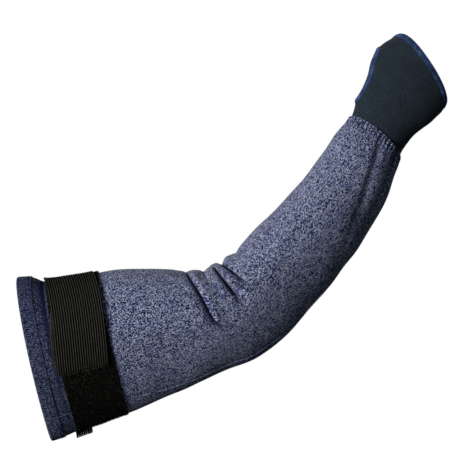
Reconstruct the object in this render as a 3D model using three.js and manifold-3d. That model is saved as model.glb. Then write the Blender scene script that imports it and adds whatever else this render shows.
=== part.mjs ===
// Cut resistant arm sleeve with a hand cuff, in the form that it takes on a bent right arm.
// Millimetres, +Z up. The arm lies in the XZ plane, the back of the hand faces -Y, and the origin
// is the middle of the ring that the fastening strap makes round the upper arm.
import * as THREE from 'three';
import { mergeVertices } from 'three/addons/utils/BufferGeometryUtils.js';
import Module from 'manifold-3d';

const wasm = await Module();
wasm.setup();

// Run of the arm from the upper opening to the fingers, along its centre line.
const upperArmTilt = 12; // degrees above horizontal
const openingToStrap = 48;
const strapToElbow = 100;
const elbowRadius = 138;
const elbowBend = 36; // degrees
const forearmLength = 96;
const wristRadius = 250;
const wristBend = 11; // degrees
const wristLength = 36; // from the end of the wrist's bend to the cuff seam
const handLength = 80; // from the cuff seam to the finger edge, at the middle of the hand

// Widths across the arm in the picture plane, and depths from front to back.
const openingWidth = 156;
const openingDepth = 100;
const wristWidth = 60;
const wristDepth = 42;
const palmWidth = 90;
const palmDepth = 48;

// Cloth.
const clearance = 0.4; // between two pieces that lie on each other
const knitWall = 1.8;
const cuffWall = 1.6;
const hemDepth = 14;
const hemRise = 0.7;
const creaseDepth = 4; // of the deepest crease in the crook of the elbow
const creaseWidth = 4.2; // from its bottom to where it is up on the cloth again
const wristFoldDepth = 2.4;

// Seam between the sleeve and the cuff.
const seamOverlap = 7; // how far the cuff reaches inside the sleeve
const seamRake = 4.8; // the thumb side of the seam lies this much nearer to the fingers
const seamBow = 6.8; // and so does the back of the wrist
const seamEase = 70; // over this length the knit follows the seam's slant
const gatherCount = 11;
const gatherHeight = 0.8;
const gatherLength = 13;

// Finger edge and thumb hole of the cuff.
const edgeRake = 16.5;
const edgeBow = 10.5;
const edgeBindingWidth = 6.5;
const thumbHoleLength = 50;
const thumbHoleWidth = 25.5;
const thumbHoleFromSeam = 48; // to the middle of the hole
const thumbBindingWidth = 5.2;
const bindingRise = 0.6; // the binding stands this proud of the cuff, outside and inside

// Strap of ribbed elastic webbing, with hook tape under its end and a loop patch below that.
const webbingWidth = 50;
const webbingThickness = 1.6;
const webbingEnd = 102; // degrees round from the crook side to the free end
const webbingStart = -150; // where it is sewn on, on the side away from the viewer
const webbingBow = 6; // between the top and its free end it bows this far towards the hand
const tailAngle = -183; // the sewn end's tail reaches round to here
const tailShare = 0.34; // part of the webbing's width that the tail has
const tailSlack = 4.5; // how far the tail hangs below the knit
const tailSpread = 20; // degrees over which it leaves the knit
const loopWidth = 52;
const loopThickness = 1.6;
const loopShift = 4.5; // the patch sits this much nearer to the hand than the webbing
const loopStart = -14;
const loopEnd = 172;
const hookLength = 70; // degrees
const hookThickness = 1.0;
const hookWidth = 48;

// Sections of the form that the cloth lies on, from the opening to the cuff seam. "at" is a share
// of the sleeve's length. inner, outer and depth run from 0, the wrist's size, to 1, the opening's.
// pinch is how sharply the cloth folds along the outer edge, where the long seam is.
const sleeveSections = [
  { at: 0.0, inner: 1.03, outer: 0.98, depth: 1.0, pinch: 0.46 },
  { at: 0.034, inner: 0.975, outer: 0.95, depth: 0.98, pinch: 0.46 },
  { at: 0.056, inner: 0.855, outer: 0.91, depth: 0.96, pinch: 0.46 },
  { at: 0.08, inner: 0.81, outer: 0.88, depth: 0.95, pinch: 0.46 },
  { at: 0.116, inner: 0.79, outer: 0.845, depth: 0.94, pinch: 0.46 },
  { at: 0.165, inner: 0.77, outer: 0.78, depth: 0.93, pinch: 0.45 },
  { at: 0.2, inner: 0.785, outer: 0.745, depth: 0.93, pinch: 0.44 },
  { at: 0.24, inner: 0.76, outer: 0.675, depth: 0.92, pinch: 0.44 },
  { at: 0.34, inner: 0.59, outer: 0.495, depth: 0.86, pinch: 0.4 },
  { at: 0.414, inner: 0.425, outer: 0.385, depth: 0.81, pinch: 0.36 },
  { at: 0.47, inner: 0.3, outer: 0.435, depth: 0.77, pinch: 0.33 },
  { at: 0.563, inner: 0.178, outer: 0.385, depth: 0.74, pinch: 0.3 },
  { at: 0.675, inner: 0.148, outer: 0.385, depth: 0.7, pinch: 0.28 },
  { at: 0.73, inner: 0.132, outer: 0.33, depth: 0.65, pinch: 0.25 },
  { at: 0.786, inner: 0.108, outer: 0.29, depth: 0.6, pinch: 0.22 },
  { at: 0.898, inner: 0.1, outer: 0.12, depth: 0.36, pinch: 0.12 },
  { at: 0.958, inner: 0.086, outer: 0.01, depth: 0.15, pinch: 0.04 },
  { at: 1.0, inner: 0.02, outer: -0.046, depth: 0.0, pinch: 0.0 },
];

// The same for the cuff, with "at" a share of the hand's length, from 0, the wrist, to 1, the palm.
const cuffSections = [
  { at: 0.18, inner: 0.21, outer: -0.1, depth: 0.14 },
  { at: 0.279, inner: 0.45, outer: 0.0, depth: 0.3 },
  { at: 0.375, inner: 0.7, outer: 0.19, depth: 0.5 },
  { at: 0.51, inner: 1.03, outer: 0.49, depth: 0.8 },
  { at: 0.655, inner: 1.22, outer: 0.65, depth: 1.0 },
  { at: 0.77, inner: 1.26, outer: 0.73, depth: 1.0 },
  { at: 0.905, inner: 0.99, outer: 0.7, depth: 0.95 },
  { at: 1.05, inner: 0.7, outer: 0.64, depth: 0.85 },
  { at: 1.145, inner: 0.43, outer: 0.57, depth: 0.8 },
  { at: 1.3, inner: 0.1, outer: 0.5, depth: 0.75 },
];

// Creases in the crook of the elbow. "at" is a share of the sleeve's length, and lean is how far
// along it, as the same share, a crease drifts per quarter turn. depth and width are shares of the
// deepest crease's. gap and reach are degrees each way round from the middle of the crook: where a
// crease starts, 0 if it runs through, and where it ends.
const creases = [
  { at: 0.4, lean: 0.036, depth: 0.85, width: 1.05, gap: 0, reach: 124 },
  { at: 0.463, lean: 0.0, depth: 0.45, width: 1.0, gap: 0, reach: 44 },
  { at: 0.503, lean: 0.0, depth: 0.8, width: 1.0, gap: 16, reach: 110 },
  { at: 0.527, lean: 0.018, depth: 1.0, width: 1.0, gap: 0, reach: 94 },
  { at: 0.58, lean: 0.0, depth: 0.5, width: 1.15, gap: 0, reach: 48 },
];

// Long folds that the gathers throw up the wrist. turn and spread are in degrees round, depth is a
// share of the deepest fold's, and reach is a share of the sleeve's length.
const wristFolds = [
  { turn: 101, spread: 11, depth: 0.9, reach: 0.085 },
  { turn: 145, spread: 9, depth: 1.0, reach: 0.15 },
  { turn: 60, spread: 12, depth: 0.5, reach: 0.07 },
  { turn: -50, spread: 12, depth: 0.6, reach: 0.08 },
  { turn: -95, spread: 11, depth: 0.85, reach: 0.11 },
  { turn: -140, spread: 10, depth: 0.85, reach: 0.13 },
];

// Steps of the knit's facets along the arm: each zone ends at a share of the sleeve's length.
const sleeveZones = [
  { to: 0.034, steps: 1 },
  { to: 0.058, steps: 1 },
  { to: 0.2, steps: 4 },
  { to: 0.375, steps: 3 },
  { to: 0.6, steps: 20 },
  { to: 0.88, steps: 5 },
  { to: 1.0, steps: 6 },
];
const aroundSleeve = 44;
const aroundCuff = 36;
const cuffStations = 13;
const thumbHoleSides = 28;
const thumbStations = 10;
const bindingStations = 3;
const webbingSteps = 36;
const tailSteps = 8;
const loopSteps = 26;
const hookSteps = 11;
const acrossSteps = 3; // of each strap layer's width

const radians = THREE.MathUtils.degToRad;
const smooth = THREE.MathUtils.smoothstep;

const legs = [
  { length: openingToStrap + strapToElbow, bend: 0 },
  { length: elbowRadius * radians(elbowBend), bend: radians(elbowBend) },
  { length: forearmLength, bend: 0 },
  { length: wristRadius * radians(wristBend), bend: radians(wristBend) },
  { length: wristLength, bend: 0 },
];
const sleeveLength = legs.reduce((sum, leg) => sum + leg.length, 0);

// Where the centre line is at a distance from the opening, and which way it heads.
function armAt(distance) {
  let heading = radians(upperArmTilt);
  let x = -openingToStrap * Math.cos(heading);
  let z = -openingToStrap * Math.sin(heading);
  let left = distance;
  legs.forEach((leg, i) => {
    const last = i === legs.length - 1;
    const run = last ? left : Math.min(left, leg.length);
    const turn = last ? 0 : (leg.bend * run) / leg.length;
    const chord = turn === 0 ? run : (2 * run * Math.sin(turn / 2)) / turn;
    x += chord * Math.cos(heading + turn / 2);
    z += chord * Math.sin(heading + turn / 2);
    heading += turn;
    left -= run;
  });
  return { x, z, heading };
}

// One list of half sizes in millimetres, for the whole length.
function halfSizes() {
  const between = (small, large, share) => (small + (large - small) * share) / 2;
  const rows = sleeveSections.map((row) => ({
    s: row.at * sleeveLength,
    inner: between(wristWidth, openingWidth, row.inner),
    outer: between(wristWidth, openingWidth, row.outer),
    depth: between(wristDepth, openingDepth, row.depth),
    pinch: row.pinch,
  }));
  cuffSections.forEach((row) =>
    rows.push({
      s: sleeveLength + row.at * handLength,
      inner: between(wristWidth, palmWidth, row.inner),
      outer: between(wristWidth, palmWidth, row.outer),
      depth: between(wristDepth, palmDepth, row.depth),
      pinch: 0,
    }),
  );
  return rows;
}
const sections = halfSizes();

// A section at any distance, by a smooth curve through the rows on each side of it.
function sectionAt(distance) {
  const last = sections.length - 2;
  const i = Math.min(Math.max(sections.findIndex((row) => row.s > distance) - 1, 0), last);
  const k = distance >= sections[last].s ? last : i;
  const [a, b] = [sections[k], sections[k + 1]];
  const [before, after] = [sections[Math.max(k - 1, 0)], sections[Math.min(k + 2, last + 1)]];
  const span = b.s - a.s;
  const t = THREE.MathUtils.clamp((distance - a.s) / span, 0, 1);
  const value = (column) => {
    const slopeA = ((b[column] - before[column]) / (b.s - before.s)) * span;
    const slopeB = ((after[column] - a[column]) / (after.s - a.s)) * span;
    return (
      a[column] * (1 + t * t * (2 * t - 3)) +
      slopeA * t * (1 - t) ** 2 +
      b[column] * t * t * (3 - 2 * t) -
      slopeB * t * t * (1 - t)
    );
  };
  return {
    inner: value('inner'),
    outer: value('outer'),
    depth: value('depth'),
    pinch: value('pinch'),
  };
}

// The form's surface. turn is in degrees: 0 is the crook and thumb side, 90 the side towards the
// viewer and the back of the hand, 180 the outer side of the elbow.
function formPoint(distance, turn) {
  const arm = armAt(distance);
  const half = sectionAt(distance);
  const across = Math.cos(radians(turn));
  const width = across * (across > 0 ? half.inner : half.outer);
  const fold = 1 - half.pinch * ((1 - across) / 2) ** 2;
  return new THREE.Vector3(
    arm.x - width * Math.sin(arm.heading),
    -half.depth * fold * Math.sin(radians(turn)),
    arm.z + width * Math.cos(arm.heading),
  );
}

// A point at a height off the form, along the form's own normal.
function clothPoint(distance, turn, height) {
  const alongStep = 0.5;
  const turnStep = 0.5;
  const along = formPoint(distance + alongStep, turn).sub(formPoint(distance - alongStep, turn));
  const round = formPoint(distance, turn + turnStep).sub(formPoint(distance, turn - turnStep));
  const normal = new THREE.Vector3().crossVectors(round, along).normalize();
  return formPoint(distance, turn).addScaledVector(normal, height);
}

// Degrees from -180 to 180.
function wrapped(turn) {
  return turn - 360 * Math.round(turn / 360);
}

// A groove, 1 deep, with a low and broad shoulder on each side, as cloth makes when it is pushed
// together.
function groove(offset, width) {
  const shoulder = 0.5;
  const ratio = (offset / width) ** 2;
  return shoulder * Math.exp(-ratio / 4) - (1 + shoulder) * Math.exp(-ratio);
}

// How far the knit's folds and its hem lift it off its smooth form.
function knitRelief(distance, turn) {
  const away = Math.abs(wrapped(turn));
  let height = 0;
  for (const crease of creases) {
    const middle = (crease.at + (crease.lean * away) / 90) * sleeveLength;
    const start = crease.gap === 0 ? 1 : smooth(away, crease.gap / 2, crease.gap * 2);
    const fade = start * (1 - smooth(away, crease.reach / 2, crease.reach));
    height += crease.depth * creaseDepth * fade * groove(distance - middle, crease.width * creaseWidth);
  }
  const toSeam = Math.max(sleeveLength - distance, 0);
  for (const fold of wristFolds) {
    const reach = fold.reach * sleeveLength;
    const fade = Math.exp(-((toSeam / reach) ** 2));
    height += fold.depth * wristFoldDepth * fade * groove(wrapped(turn - fold.turn), fold.spread);
  }
  const pleat = Math.cos(radians(turn) * gatherCount);
  height += gatherHeight * pleat * Math.exp(-toSeam / gatherLength);
  return height + (distance < hemDepth ? hemRise : 0);
}

// Where the cuff seam and the finger edge lie at a turn round the arm.
function seamAt(turn) {
  const bow = seamBow * Math.sin(radians(turn));
  return sleeveLength + seamRake * Math.cos(radians(turn)) + bow;
}

function fingerEdgeAt(turn) {
  const rake = edgeRake * Math.cos(radians(turn));
  return sleeveLength + handLength + rake + edgeBow * Math.sin(radians(turn));
}

// Closed geometry of a ring-shaped wall. rows(turn) gives the distances of its stations.
function ringWall(turns, stations, distanceAt, low, high) {
  const positions = [];
  const index = [];
  const loop = 2 * stations;
  for (let i = 0; i < turns; i += 1) {
    const turn = (360 * i) / turns;
    for (let j = 0; j < loop; j += 1) {
      const outside = j < stations;
      const station = outside ? j : loop - 1 - j;
      const distance = distanceAt(station, turn);
      const height = (outside ? high : low)(distance, turn, station);
      positions.push(...clothPoint(distance, turn, height).toArray());
    }
  }
  for (let i = 0; i < turns; i += 1) {
    const next = (i + 1) % turns;
    for (let j = 0; j < loop; j += 1) {
      const after = (j + 1) % loop;
      const [a, b, c, d] = [i * loop + j, next * loop + j, next * loop + after, i * loop + after];
      index.push(a, b, c, a, c, d);
    }
  }
  const geometry = new THREE.BufferGeometry();
  geometry.setAttribute('position', new THREE.Float32BufferAttribute(positions, 3));
  geometry.setIndex(index);
  return geometry;
}

// Closed geometry of a strip that lies on the form: place(u, v) gives its distance and turn, with
// u along the strip and v across it, and low and high give its two faces' heights.
function strip(alongSteps, acrossSteps, place, low, high) {
  const positions = [];
  const index = [];
  const columns = acrossSteps + 1;
  const layer = (alongSteps + 1) * columns;
  for (const height of [high, low]) {
    for (let i = 0; i <= alongSteps; i += 1) {
      for (let j = 0; j <= acrossSteps; j += 1) {
        const { distance, turn } = place(i / alongSteps, j / acrossSteps);
        positions.push(...clothPoint(distance, turn, height(turn, distance)).toArray());
      }
    }
  }
  const quad = (a, b, c, d) => index.push(a, b, c, a, c, d);
  for (let i = 0; i < alongSteps; i += 1) {
    for (let j = 0; j < acrossSteps; j += 1) {
      const a = i * columns + j;
      quad(a, a + columns, a + columns + 1, a + 1);
      quad(layer + a + 1, layer + a + columns + 1, layer + a + columns, layer + a);
    }
  }
  for (let i = 0; i < alongSteps; i += 1) {
    const a = i * columns;
    const b = a + acrossSteps;
    quad(a, layer + a, layer + a + columns, a + columns);
    quad(b + columns, layer + b + columns, layer + b, b);
  }
  for (let j = 0; j < acrossSteps; j += 1) {
    const a = j;
    const b = alongSteps * columns + j;
    quad(a + 1, layer + a + 1, layer + a, a);
    quad(b, layer + b, layer + b + 1, b + 1);
  }
  const geometry = new THREE.BufferGeometry();
  geometry.setAttribute('position', new THREE.Float32BufferAttribute(positions, 3));
  geometry.setIndex(index);
  return geometry;
}

function toSolid(geometry) {
  const bare = geometry.clone();
  bare.deleteAttribute('normal');
  bare.deleteAttribute('uv');
  const merged = mergeVertices(bare, 1e-4);
  return new wasm.Manifold(
    new wasm.Mesh({
      numProp: 3,
      vertProperties: merged.attributes.position.array,
      triVerts: new Uint32Array(merged.index.array),
    }),
  );
}

function toGeometry(solid) {
  const mesh = solid.getMesh();
  const geometry = new THREE.BufferGeometry();
  const positions = new Float32Array(mesh.numVert * 3);
  for (let i = 0; i < mesh.numVert; i += 1) {
    const start = i * mesh.numProp;
    positions.set(mesh.vertProperties.subarray(start, start + 3), i * 3);
  }
  geometry.setAttribute('position', new THREE.BufferAttribute(positions, 3));
  geometry.setIndex(new THREE.BufferAttribute(new Uint32Array(mesh.triVerts), 1));
  geometry.computeVertexNormals();
  return geometry;
}

// The knit sleeve, from its turned hem to the gathers at the cuff seam.
function knitSleeve() {
  const shares = [0];
  for (const zone of sleeveZones) {
    const from = shares[shares.length - 1];
    for (let i = 1; i <= zone.steps; i += 1) {
      shares.push(from + ((zone.to - from) * i) / zone.steps);
    }
  }
  const distanceAt = (station, turn) => {
    const distance = shares[station] * sleeveLength;
    const follow = smooth(distance, sleeveLength - seamEase, sleeveLength);
    return distance + (seamAt(turn) - sleeveLength) * follow;
  };
  // The folds follow the stations, so that the gathers stay at the slanted seam.
  const relief = (distance, turn, station) => knitRelief(shares[station] * sleeveLength, turn);
  const low = (distance, turn, station) => clearance + Math.max(relief(distance, turn, station), 0);
  const inside = (distance, turn, station) => {
    const free = shares[station] * sleeveLength < sleeveLength - 2 * seamOverlap;
    return free ? clearance + relief(distance, turn, station) : low(distance, turn, station);
  };
  const outside = (distance, turn, station) => inside(distance, turn, station) + knitWall;
  return ringWall(aroundSleeve, shares.length, distanceAt, inside, outside);
}

// A stretch of the cuff's wall between two distances from the seam, at two heights off the form.
function cuffWallBetween(fromAt, toAt, stations, low, high) {
  const distanceAt = (station, turn) => {
    const share = station / (stations - 1);
    return fromAt(turn) * (1 - share) + toAt(turn) * share;
  };
  return ringWall(aroundCuff, stations, distanceAt, () => low, () => high);
}

// An oval bar that stands out of the thumb side, as long and wide as the hole plus a margin.
function thumbBar(margin) {
  const reach = palmWidth;
  const oval = new THREE.Shape();
  oval.absellipse(
    0,
    0,
    thumbHoleLength / 2 + margin,
    thumbHoleWidth / 2 + margin,
    0,
    2 * Math.PI,
    false,
  );
  const bar = new THREE.ExtrudeGeometry(oval, {
    depth: reach,
    bevelEnabled: false,
    curveSegments: thumbHoleSides / 2,
  });
  const arm = armAt(sleeveLength + thumbHoleFromSeam);
  const along = new THREE.Vector3(Math.cos(arm.heading), 0, Math.sin(arm.heading));
  const outward = new THREE.Vector3(-Math.sin(arm.heading), 0, Math.cos(arm.heading));
  const side = new THREE.Vector3().crossVectors(outward, along);
  const place = new THREE.Matrix4().makeBasis(along, side, outward);
  place.setPosition(arm.x, 0, arm.z);
  return bar.applyMatrix4(place);
}

// The stretch cuff over the hand, with its thumb hole cut for the binding.
function handCuff() {
  const from = (turn) => seamAt(turn) - seamOverlap;
  const to = (turn) => fingerEdgeAt(turn) - edgeBindingWidth - clearance;
  const wall = toSolid(cuffWallBetween(from, to, cuffStations, -cuffWall, 0));
  return toGeometry(wall.subtract(toSolid(thumbBar(thumbBindingWidth + clearance))));
}

// The blue overlocked edge round the fingers.
function fingerBinding() {
  const from = (turn) => fingerEdgeAt(turn) - edgeBindingWidth;
  const low = -cuffWall - bindingRise;
  return cuffWallBetween(from, fingerEdgeAt, bindingStations, low, bindingRise);
}

// The same edge round the thumb hole.
function thumbBinding() {
  const from = () => sleeveLength + thumbHoleFromSeam - thumbHoleLength;
  const to = () => sleeveLength + thumbHoleFromSeam + thumbHoleLength;
  const low = -cuffWall - bindingRise;
  const wall = toSolid(cuffWallBetween(from, to, thumbStations, low, bindingRise));
  const ring = toSolid(thumbBar(thumbBindingWidth)).subtract(toSolid(thumbBar(0)));
  return toGeometry(wall.intersect(ring));
}

const onKnit = clearance + knitWall + clearance;

// The patch of loop pile, sewn round the front half of the upper arm.
function loopPatch() {
  const place = (u, v) => ({
    turn: loopStart + (loopEnd - loopStart) * u,
    distance: openingToStrap + loopShift + (v - 0.5) * loopWidth,
  });
  return strip(loopSteps, acrossSteps, place, () => onKnit, () => onKnit + loopThickness);
}

const onLoop = onKnit + loopThickness + clearance;
const onHook = onLoop + hookThickness + clearance;

// The hook tape under the webbing's free end, which presses on the loop pile.
function hookTape() {
  const place = (u, v) => ({
    turn: webbingEnd - hookLength * (1 - u),
    distance: openingToStrap + (v - 0.5) * hookWidth,
  });
  return strip(hookSteps, acrossSteps, place, () => onLoop, () => onLoop + hookThickness);
}

// The elastic webbing, sewn on behind and brought over the top to its free end in front.
function webbing() {
  const rise = 12; // degrees over which it climbs on to the layer below
  const low = (turn) => {
    const overLoop = smooth(turn, loopStart - 2 * rise, loopStart - rise / 2);
    const hookEdge = webbingEnd - hookLength;
    const overHook = smooth(turn, hookEdge - 2 * rise, hookEdge - rise / 2);
    const hang = tailSlack * Math.exp(-(((turn + 180) / tailSpread) ** 2));
    return onKnit + (onLoop - onKnit) * overLoop + (onHook - onLoop) * overHook + hang;
  };
  const stretch = (from, to, width) => (u, v) => {
    const turn = from + (to - from) * u;
    const bow = webbingBow * Math.sin((Math.PI * Math.max(0, turn)) / webbingEnd);
    return { turn, distance: openingToStrap + bow - webbingWidth / 2 + width * v };
  };
  const band = stretch(webbingStart, webbingEnd, webbingWidth);
  const high = (turn) => low(turn) + webbingThickness;
  const main = strip(webbingSteps, acrossSteps, band, low, high);
  // The tail is a hair thinner, so that its end sinks cleanly into the band.
  const tuck = 0.1;
  const tail = strip(
    tailSteps,
    1,
    stretch(tailAngle, webbingStart + rise / 2, webbingWidth * tailShare),
    (turn) => low(turn) + tuck,
    (turn) => high(turn) - tuck,
  );
  return toGeometry(toSolid(main).add(toSolid(tail)));
}

function cloth(name, geometry, colour, roughness) {
  const material = new THREE.MeshStandardMaterial({ color: colour, roughness, metalness: 0 });
  const piece = new THREE.Mesh(geometry, material);
  piece.name = name;
  return piece;
}

const sleeve = new THREE.Group();
sleeve.add(cloth('knit_sleeve', knitSleeve(), '#565d7a', 0.9));
sleeve.add(cloth('hand_cuff', handCuff(), '#222a33', 0.85));
sleeve.add(cloth('finger_binding', fingerBinding(), '#2b3f78', 0.7));
sleeve.add(cloth('thumb_binding', thumbBinding(), '#2b3f78', 0.7));
sleeve.add(cloth('loop_patch', loopPatch(), '#090907', 1.0));
sleeve.add(cloth('hook_tape', hookTape(), '#10100e', 0.6));
sleeve.add(cloth('strap_webbing', webbing(), '#1a1917', 0.8));

export default sleeve;
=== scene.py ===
import math

import bmesh
import bpy
import numpy as np
from mathutils import Matrix, Vector


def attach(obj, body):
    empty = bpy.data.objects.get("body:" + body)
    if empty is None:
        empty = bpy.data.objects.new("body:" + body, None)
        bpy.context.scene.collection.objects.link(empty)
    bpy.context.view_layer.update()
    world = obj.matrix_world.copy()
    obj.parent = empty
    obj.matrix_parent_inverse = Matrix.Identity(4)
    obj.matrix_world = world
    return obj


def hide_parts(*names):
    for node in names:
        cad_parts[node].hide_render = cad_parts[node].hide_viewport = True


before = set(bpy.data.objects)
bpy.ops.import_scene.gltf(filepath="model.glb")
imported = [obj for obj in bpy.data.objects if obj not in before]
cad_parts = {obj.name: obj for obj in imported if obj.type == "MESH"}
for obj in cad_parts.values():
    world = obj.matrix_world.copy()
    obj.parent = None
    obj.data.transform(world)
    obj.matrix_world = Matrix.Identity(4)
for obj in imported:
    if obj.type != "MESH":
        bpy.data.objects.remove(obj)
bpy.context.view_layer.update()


# The sleeve is a tube of heather knit: a marl of navy and pale cut resistant fibres in thick V
# stitches, cut to the arm's taper and closed by one long seam under the arm. Pulled on over a bent
# arm, it is pushed into creases in the crook of the elbow and gathered where it meets the cuff.
# Everything here is in millimetres along the arm's own centre line, as in the solid model.
MM = 0.001
UPPER_ARM_TILT = 12.0
OPENING_TO_STRAP = 48.0
STRAP_TO_ELBOW = 100.0
ELBOW_RADIUS = 138.0
ELBOW_BEND = 36.0
FOREARM_LENGTH = 96.0
WRIST_RADIUS = 250.0
WRIST_BEND = 11.0
WRIST_LENGTH = 36.0
HAND_LENGTH = 80.0
OPENING = dict(width=156.0, depth=100.0)
WRIST = dict(width=60.0, depth=42.0)
PALM = dict(width=90.0, depth=48.0)
CLEARANCE = 0.4
KNIT_WALL = 1.8
HEM_DEPTH = 14.0
HEM_RISE = 0.7
CREASE_DEPTH = 4.0
WRIST_FOLD_DEPTH = 2.6
SEAM_OVERLAP = 7.0
SEAM_RAKE = 4.8  # how much further the cuff seam reaches on the crook side than it does on average
SEAM_BOW = 6.8  # and on the back of the hand
SEAM_EASE = 70.0  # length of sleeve over which the rows turn to follow that slant
PLEAT_COUNT = 48
PLEAT_HEIGHT = 1.05
PLEAT_LENGTH = 9.0
PLEAT_DRAW = dict(depth=0.9, length=7.0)  # how far the gathers pull the cloth in at the seam
THINNEST = 0.4  # of the knit between its gathers, where it is sewn to the cuff

# Sections of the arm's form at shares of the sleeve's length. Their half widths and half depth go
# from the wrist's, 0, to the opening's, 1. pinch is how much flatter the elbow side is.
SLEEVE_SECTIONS = [
    dict(at=0.0, inner=1.03, outer=0.98, depth=1.0, pinch=0.46),
    dict(at=0.034, inner=0.975, outer=0.95, depth=0.98, pinch=0.46),
    dict(at=0.056, inner=0.855, outer=0.91, depth=0.96, pinch=0.46),
    dict(at=0.08, inner=0.81, outer=0.88, depth=0.95, pinch=0.46),
    dict(at=0.116, inner=0.79, outer=0.845, depth=0.94, pinch=0.46),
    dict(at=0.165, inner=0.77, outer=0.78, depth=0.93, pinch=0.45),
    dict(at=0.2, inner=0.785, outer=0.745, depth=0.93, pinch=0.44),
    dict(at=0.24, inner=0.76, outer=0.675, depth=0.92, pinch=0.44),
    dict(at=0.34, inner=0.59, outer=0.495, depth=0.86, pinch=0.4),
    dict(at=0.414, inner=0.425, outer=0.385, depth=0.81, pinch=0.36),
    dict(at=0.47, inner=0.3, outer=0.435, depth=0.77, pinch=0.33),
    dict(at=0.563, inner=0.178, outer=0.385, depth=0.74, pinch=0.3),
    dict(at=0.675, inner=0.148, outer=0.385, depth=0.7, pinch=0.28),
    dict(at=0.73, inner=0.132, outer=0.33, depth=0.65, pinch=0.25),
    dict(at=0.786, inner=0.108, outer=0.29, depth=0.6, pinch=0.22),
    dict(at=0.898, inner=0.1, outer=0.12, depth=0.36, pinch=0.12),
    dict(at=0.958, inner=0.086, outer=0.01, depth=0.15, pinch=0.04),
    dict(at=1.0, inner=0.02, outer=-0.046, depth=0.0, pinch=0.0),
]

# The same at shares of the hand's length, from the wrist's size, 0, to the palm's, 1.
CUFF_SECTIONS = [
    dict(at=0.18, inner=0.21, outer=-0.1, depth=0.14),
    dict(at=0.279, inner=0.45, outer=0.0, depth=0.3),
    dict(at=0.375, inner=0.7, outer=0.19, depth=0.5),
    dict(at=0.51, inner=1.03, outer=0.49, depth=0.8),
    dict(at=0.655, inner=1.22, outer=0.65, depth=1.0),
    dict(at=0.77, inner=1.26, outer=0.73, depth=1.0),
    dict(at=0.905, inner=0.99, outer=0.7, depth=0.95),
    dict(at=1.05, inner=0.7, outer=0.64, depth=0.85),
    dict(at=1.145, inner=0.43, outer=0.57, depth=0.8),
    dict(at=1.3, inner=0.1, outer=0.5, depth=0.75),
]

# Creases in the crook. A crease lies at a share of the sleeve's length, and leans by lean more on the
# arm's sides, where its end hooks on towards the hand. Its depth is in shares of CREASE_DEPTH. In the
# middle of the crook it has the share edge of that, from full degrees on it has all of it, and from
# fades to ends it runs out. On the arm's far side those two are back times as far round. hang is how
# much of a roll hangs over it from its far side.
CREASES = [
    dict(at=0.404, lean=0.031, depth=1.4, edge=0.3, full=30, fades=86, ends=122, back=0.9, hang=1.0),
    dict(at=0.463, lean=0.0, depth=0.5, edge=1.0, full=1, fades=16, ends=46, back=1.5, hang=0.0),
    dict(at=0.504, lean=0.003, depth=1.25, edge=0.15, full=24, fades=66, ends=104, back=1.1, hang=1.0),
    dict(at=0.5265, lean=0.0225, depth=1.2, edge=0.85, full=24, fades=58, ends=88, back=0.8, hang=0.9),
    dict(at=0.581, lean=0.0, depth=0.42, edge=1.0, full=1, fades=14, ends=50, back=1.3, hang=0.0),
]
CREASE_HOOK = dict(turn=112, spread=12, lean=1.5)
LEAN_FROM = 0.3  # share of the length from which the cloth's rows begin to lean with the creases
LEAN_TO = 0.66

# Across a crease, in millimetres: its near slope, and its far one, steep under a roll and soft where
# none hangs over it. Then the roll, how it laps over the crease, and the hollow on the inside.
CREASE_SLOPES = dict(near=3.4, steep=2.2, soft=5.0, sink=1.15)
CREASE_ROLL = dict(middle=6.6, length=4.4, height=0.28)
CREASE_LAP = dict(middle=2.4, length=1.7, reach=2.0)
CREASE_INSIDE = dict(length=6.0, sink=1.45)

# Rolls of cloth pushed up between the creases: where along the sleeve, how high, half as long as,
# round which middle in degrees from the crook, and after how many degrees more they are gone.
ROLLS = [
    dict(at=0.441, height=1.9, length=9.0, middle=70, ends=62),
    dict(at=0.508, height=3.4, length=9.5, middle=0, ends=66),
    dict(at=0.556, height=1.7, length=6.0, middle=0, ends=50),
    dict(at=0.575, height=1.4, length=10.0, middle=78, ends=55),
]

# Long folds that the gathers throw up the wrist: degrees round at the seam, degrees that they drift
# in 100 mm, half their width in degrees, depth in shares of WRIST_FOLD_DEPTH, and how far up the arm
# they reach as a share of the sleeve's length.
WRIST_FOLDS = [
    dict(turn=96, drift=40, spread=7, depth=0.85, reach=0.19),
    dict(turn=140, drift=12, spread=8, depth=0.8, reach=0.17),
    dict(turn=60, drift=0, spread=12, depth=0.5, reach=0.07),
    dict(turn=-50, drift=-10, spread=12, depth=0.6, reach=0.08),
    dict(turn=-95, drift=-14, spread=11, depth=0.85, reach=0.11),
    dict(turn=-140, drift=-6, spread=10, depth=0.85, reach=0.13),
]

# Course of the long seam round the arm: degrees at shares of the sleeve's length. Its plies make a
# low ridge under a row of topstitching, and the cloth dips on both sides of it, in millimetres.
LONG_SEAM = [
    dict(at=0.0, turn=136),
    dict(at=0.198, turn=142.5),
    dict(at=0.24, turn=148),
    dict(at=0.3, turn=153),
    dict(at=0.4, turn=155),
    dict(at=0.5, turn=158),
    dict(at=0.6, turn=174),
    dict(at=0.72, turn=200),
    dict(at=1.0, turn=208),
]
SEAM_DIP = dict(depth=0.6, away=2.3, width=1.1)
SEAM_RIDGE = dict(share=0.35, width=1.6)

# Slow waves of the cloth where it is loose, past the strap and before the gathers, by shares of the
# sleeve's length: height, and the number of them along the sleeve and round it.
LOOSE_FROM = (0.22, 0.34)
LOOSE_TO = (0.9, 0.98)
RIPPLES = [
    dict(height=0.45, along=5.0, round=1, phase=0.6),
    dict(height=0.3, along=9.0, round=2, phase=2.1),
    dict(height=0.25, along=3.0, round=4, phase=4.0),
]

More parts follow.
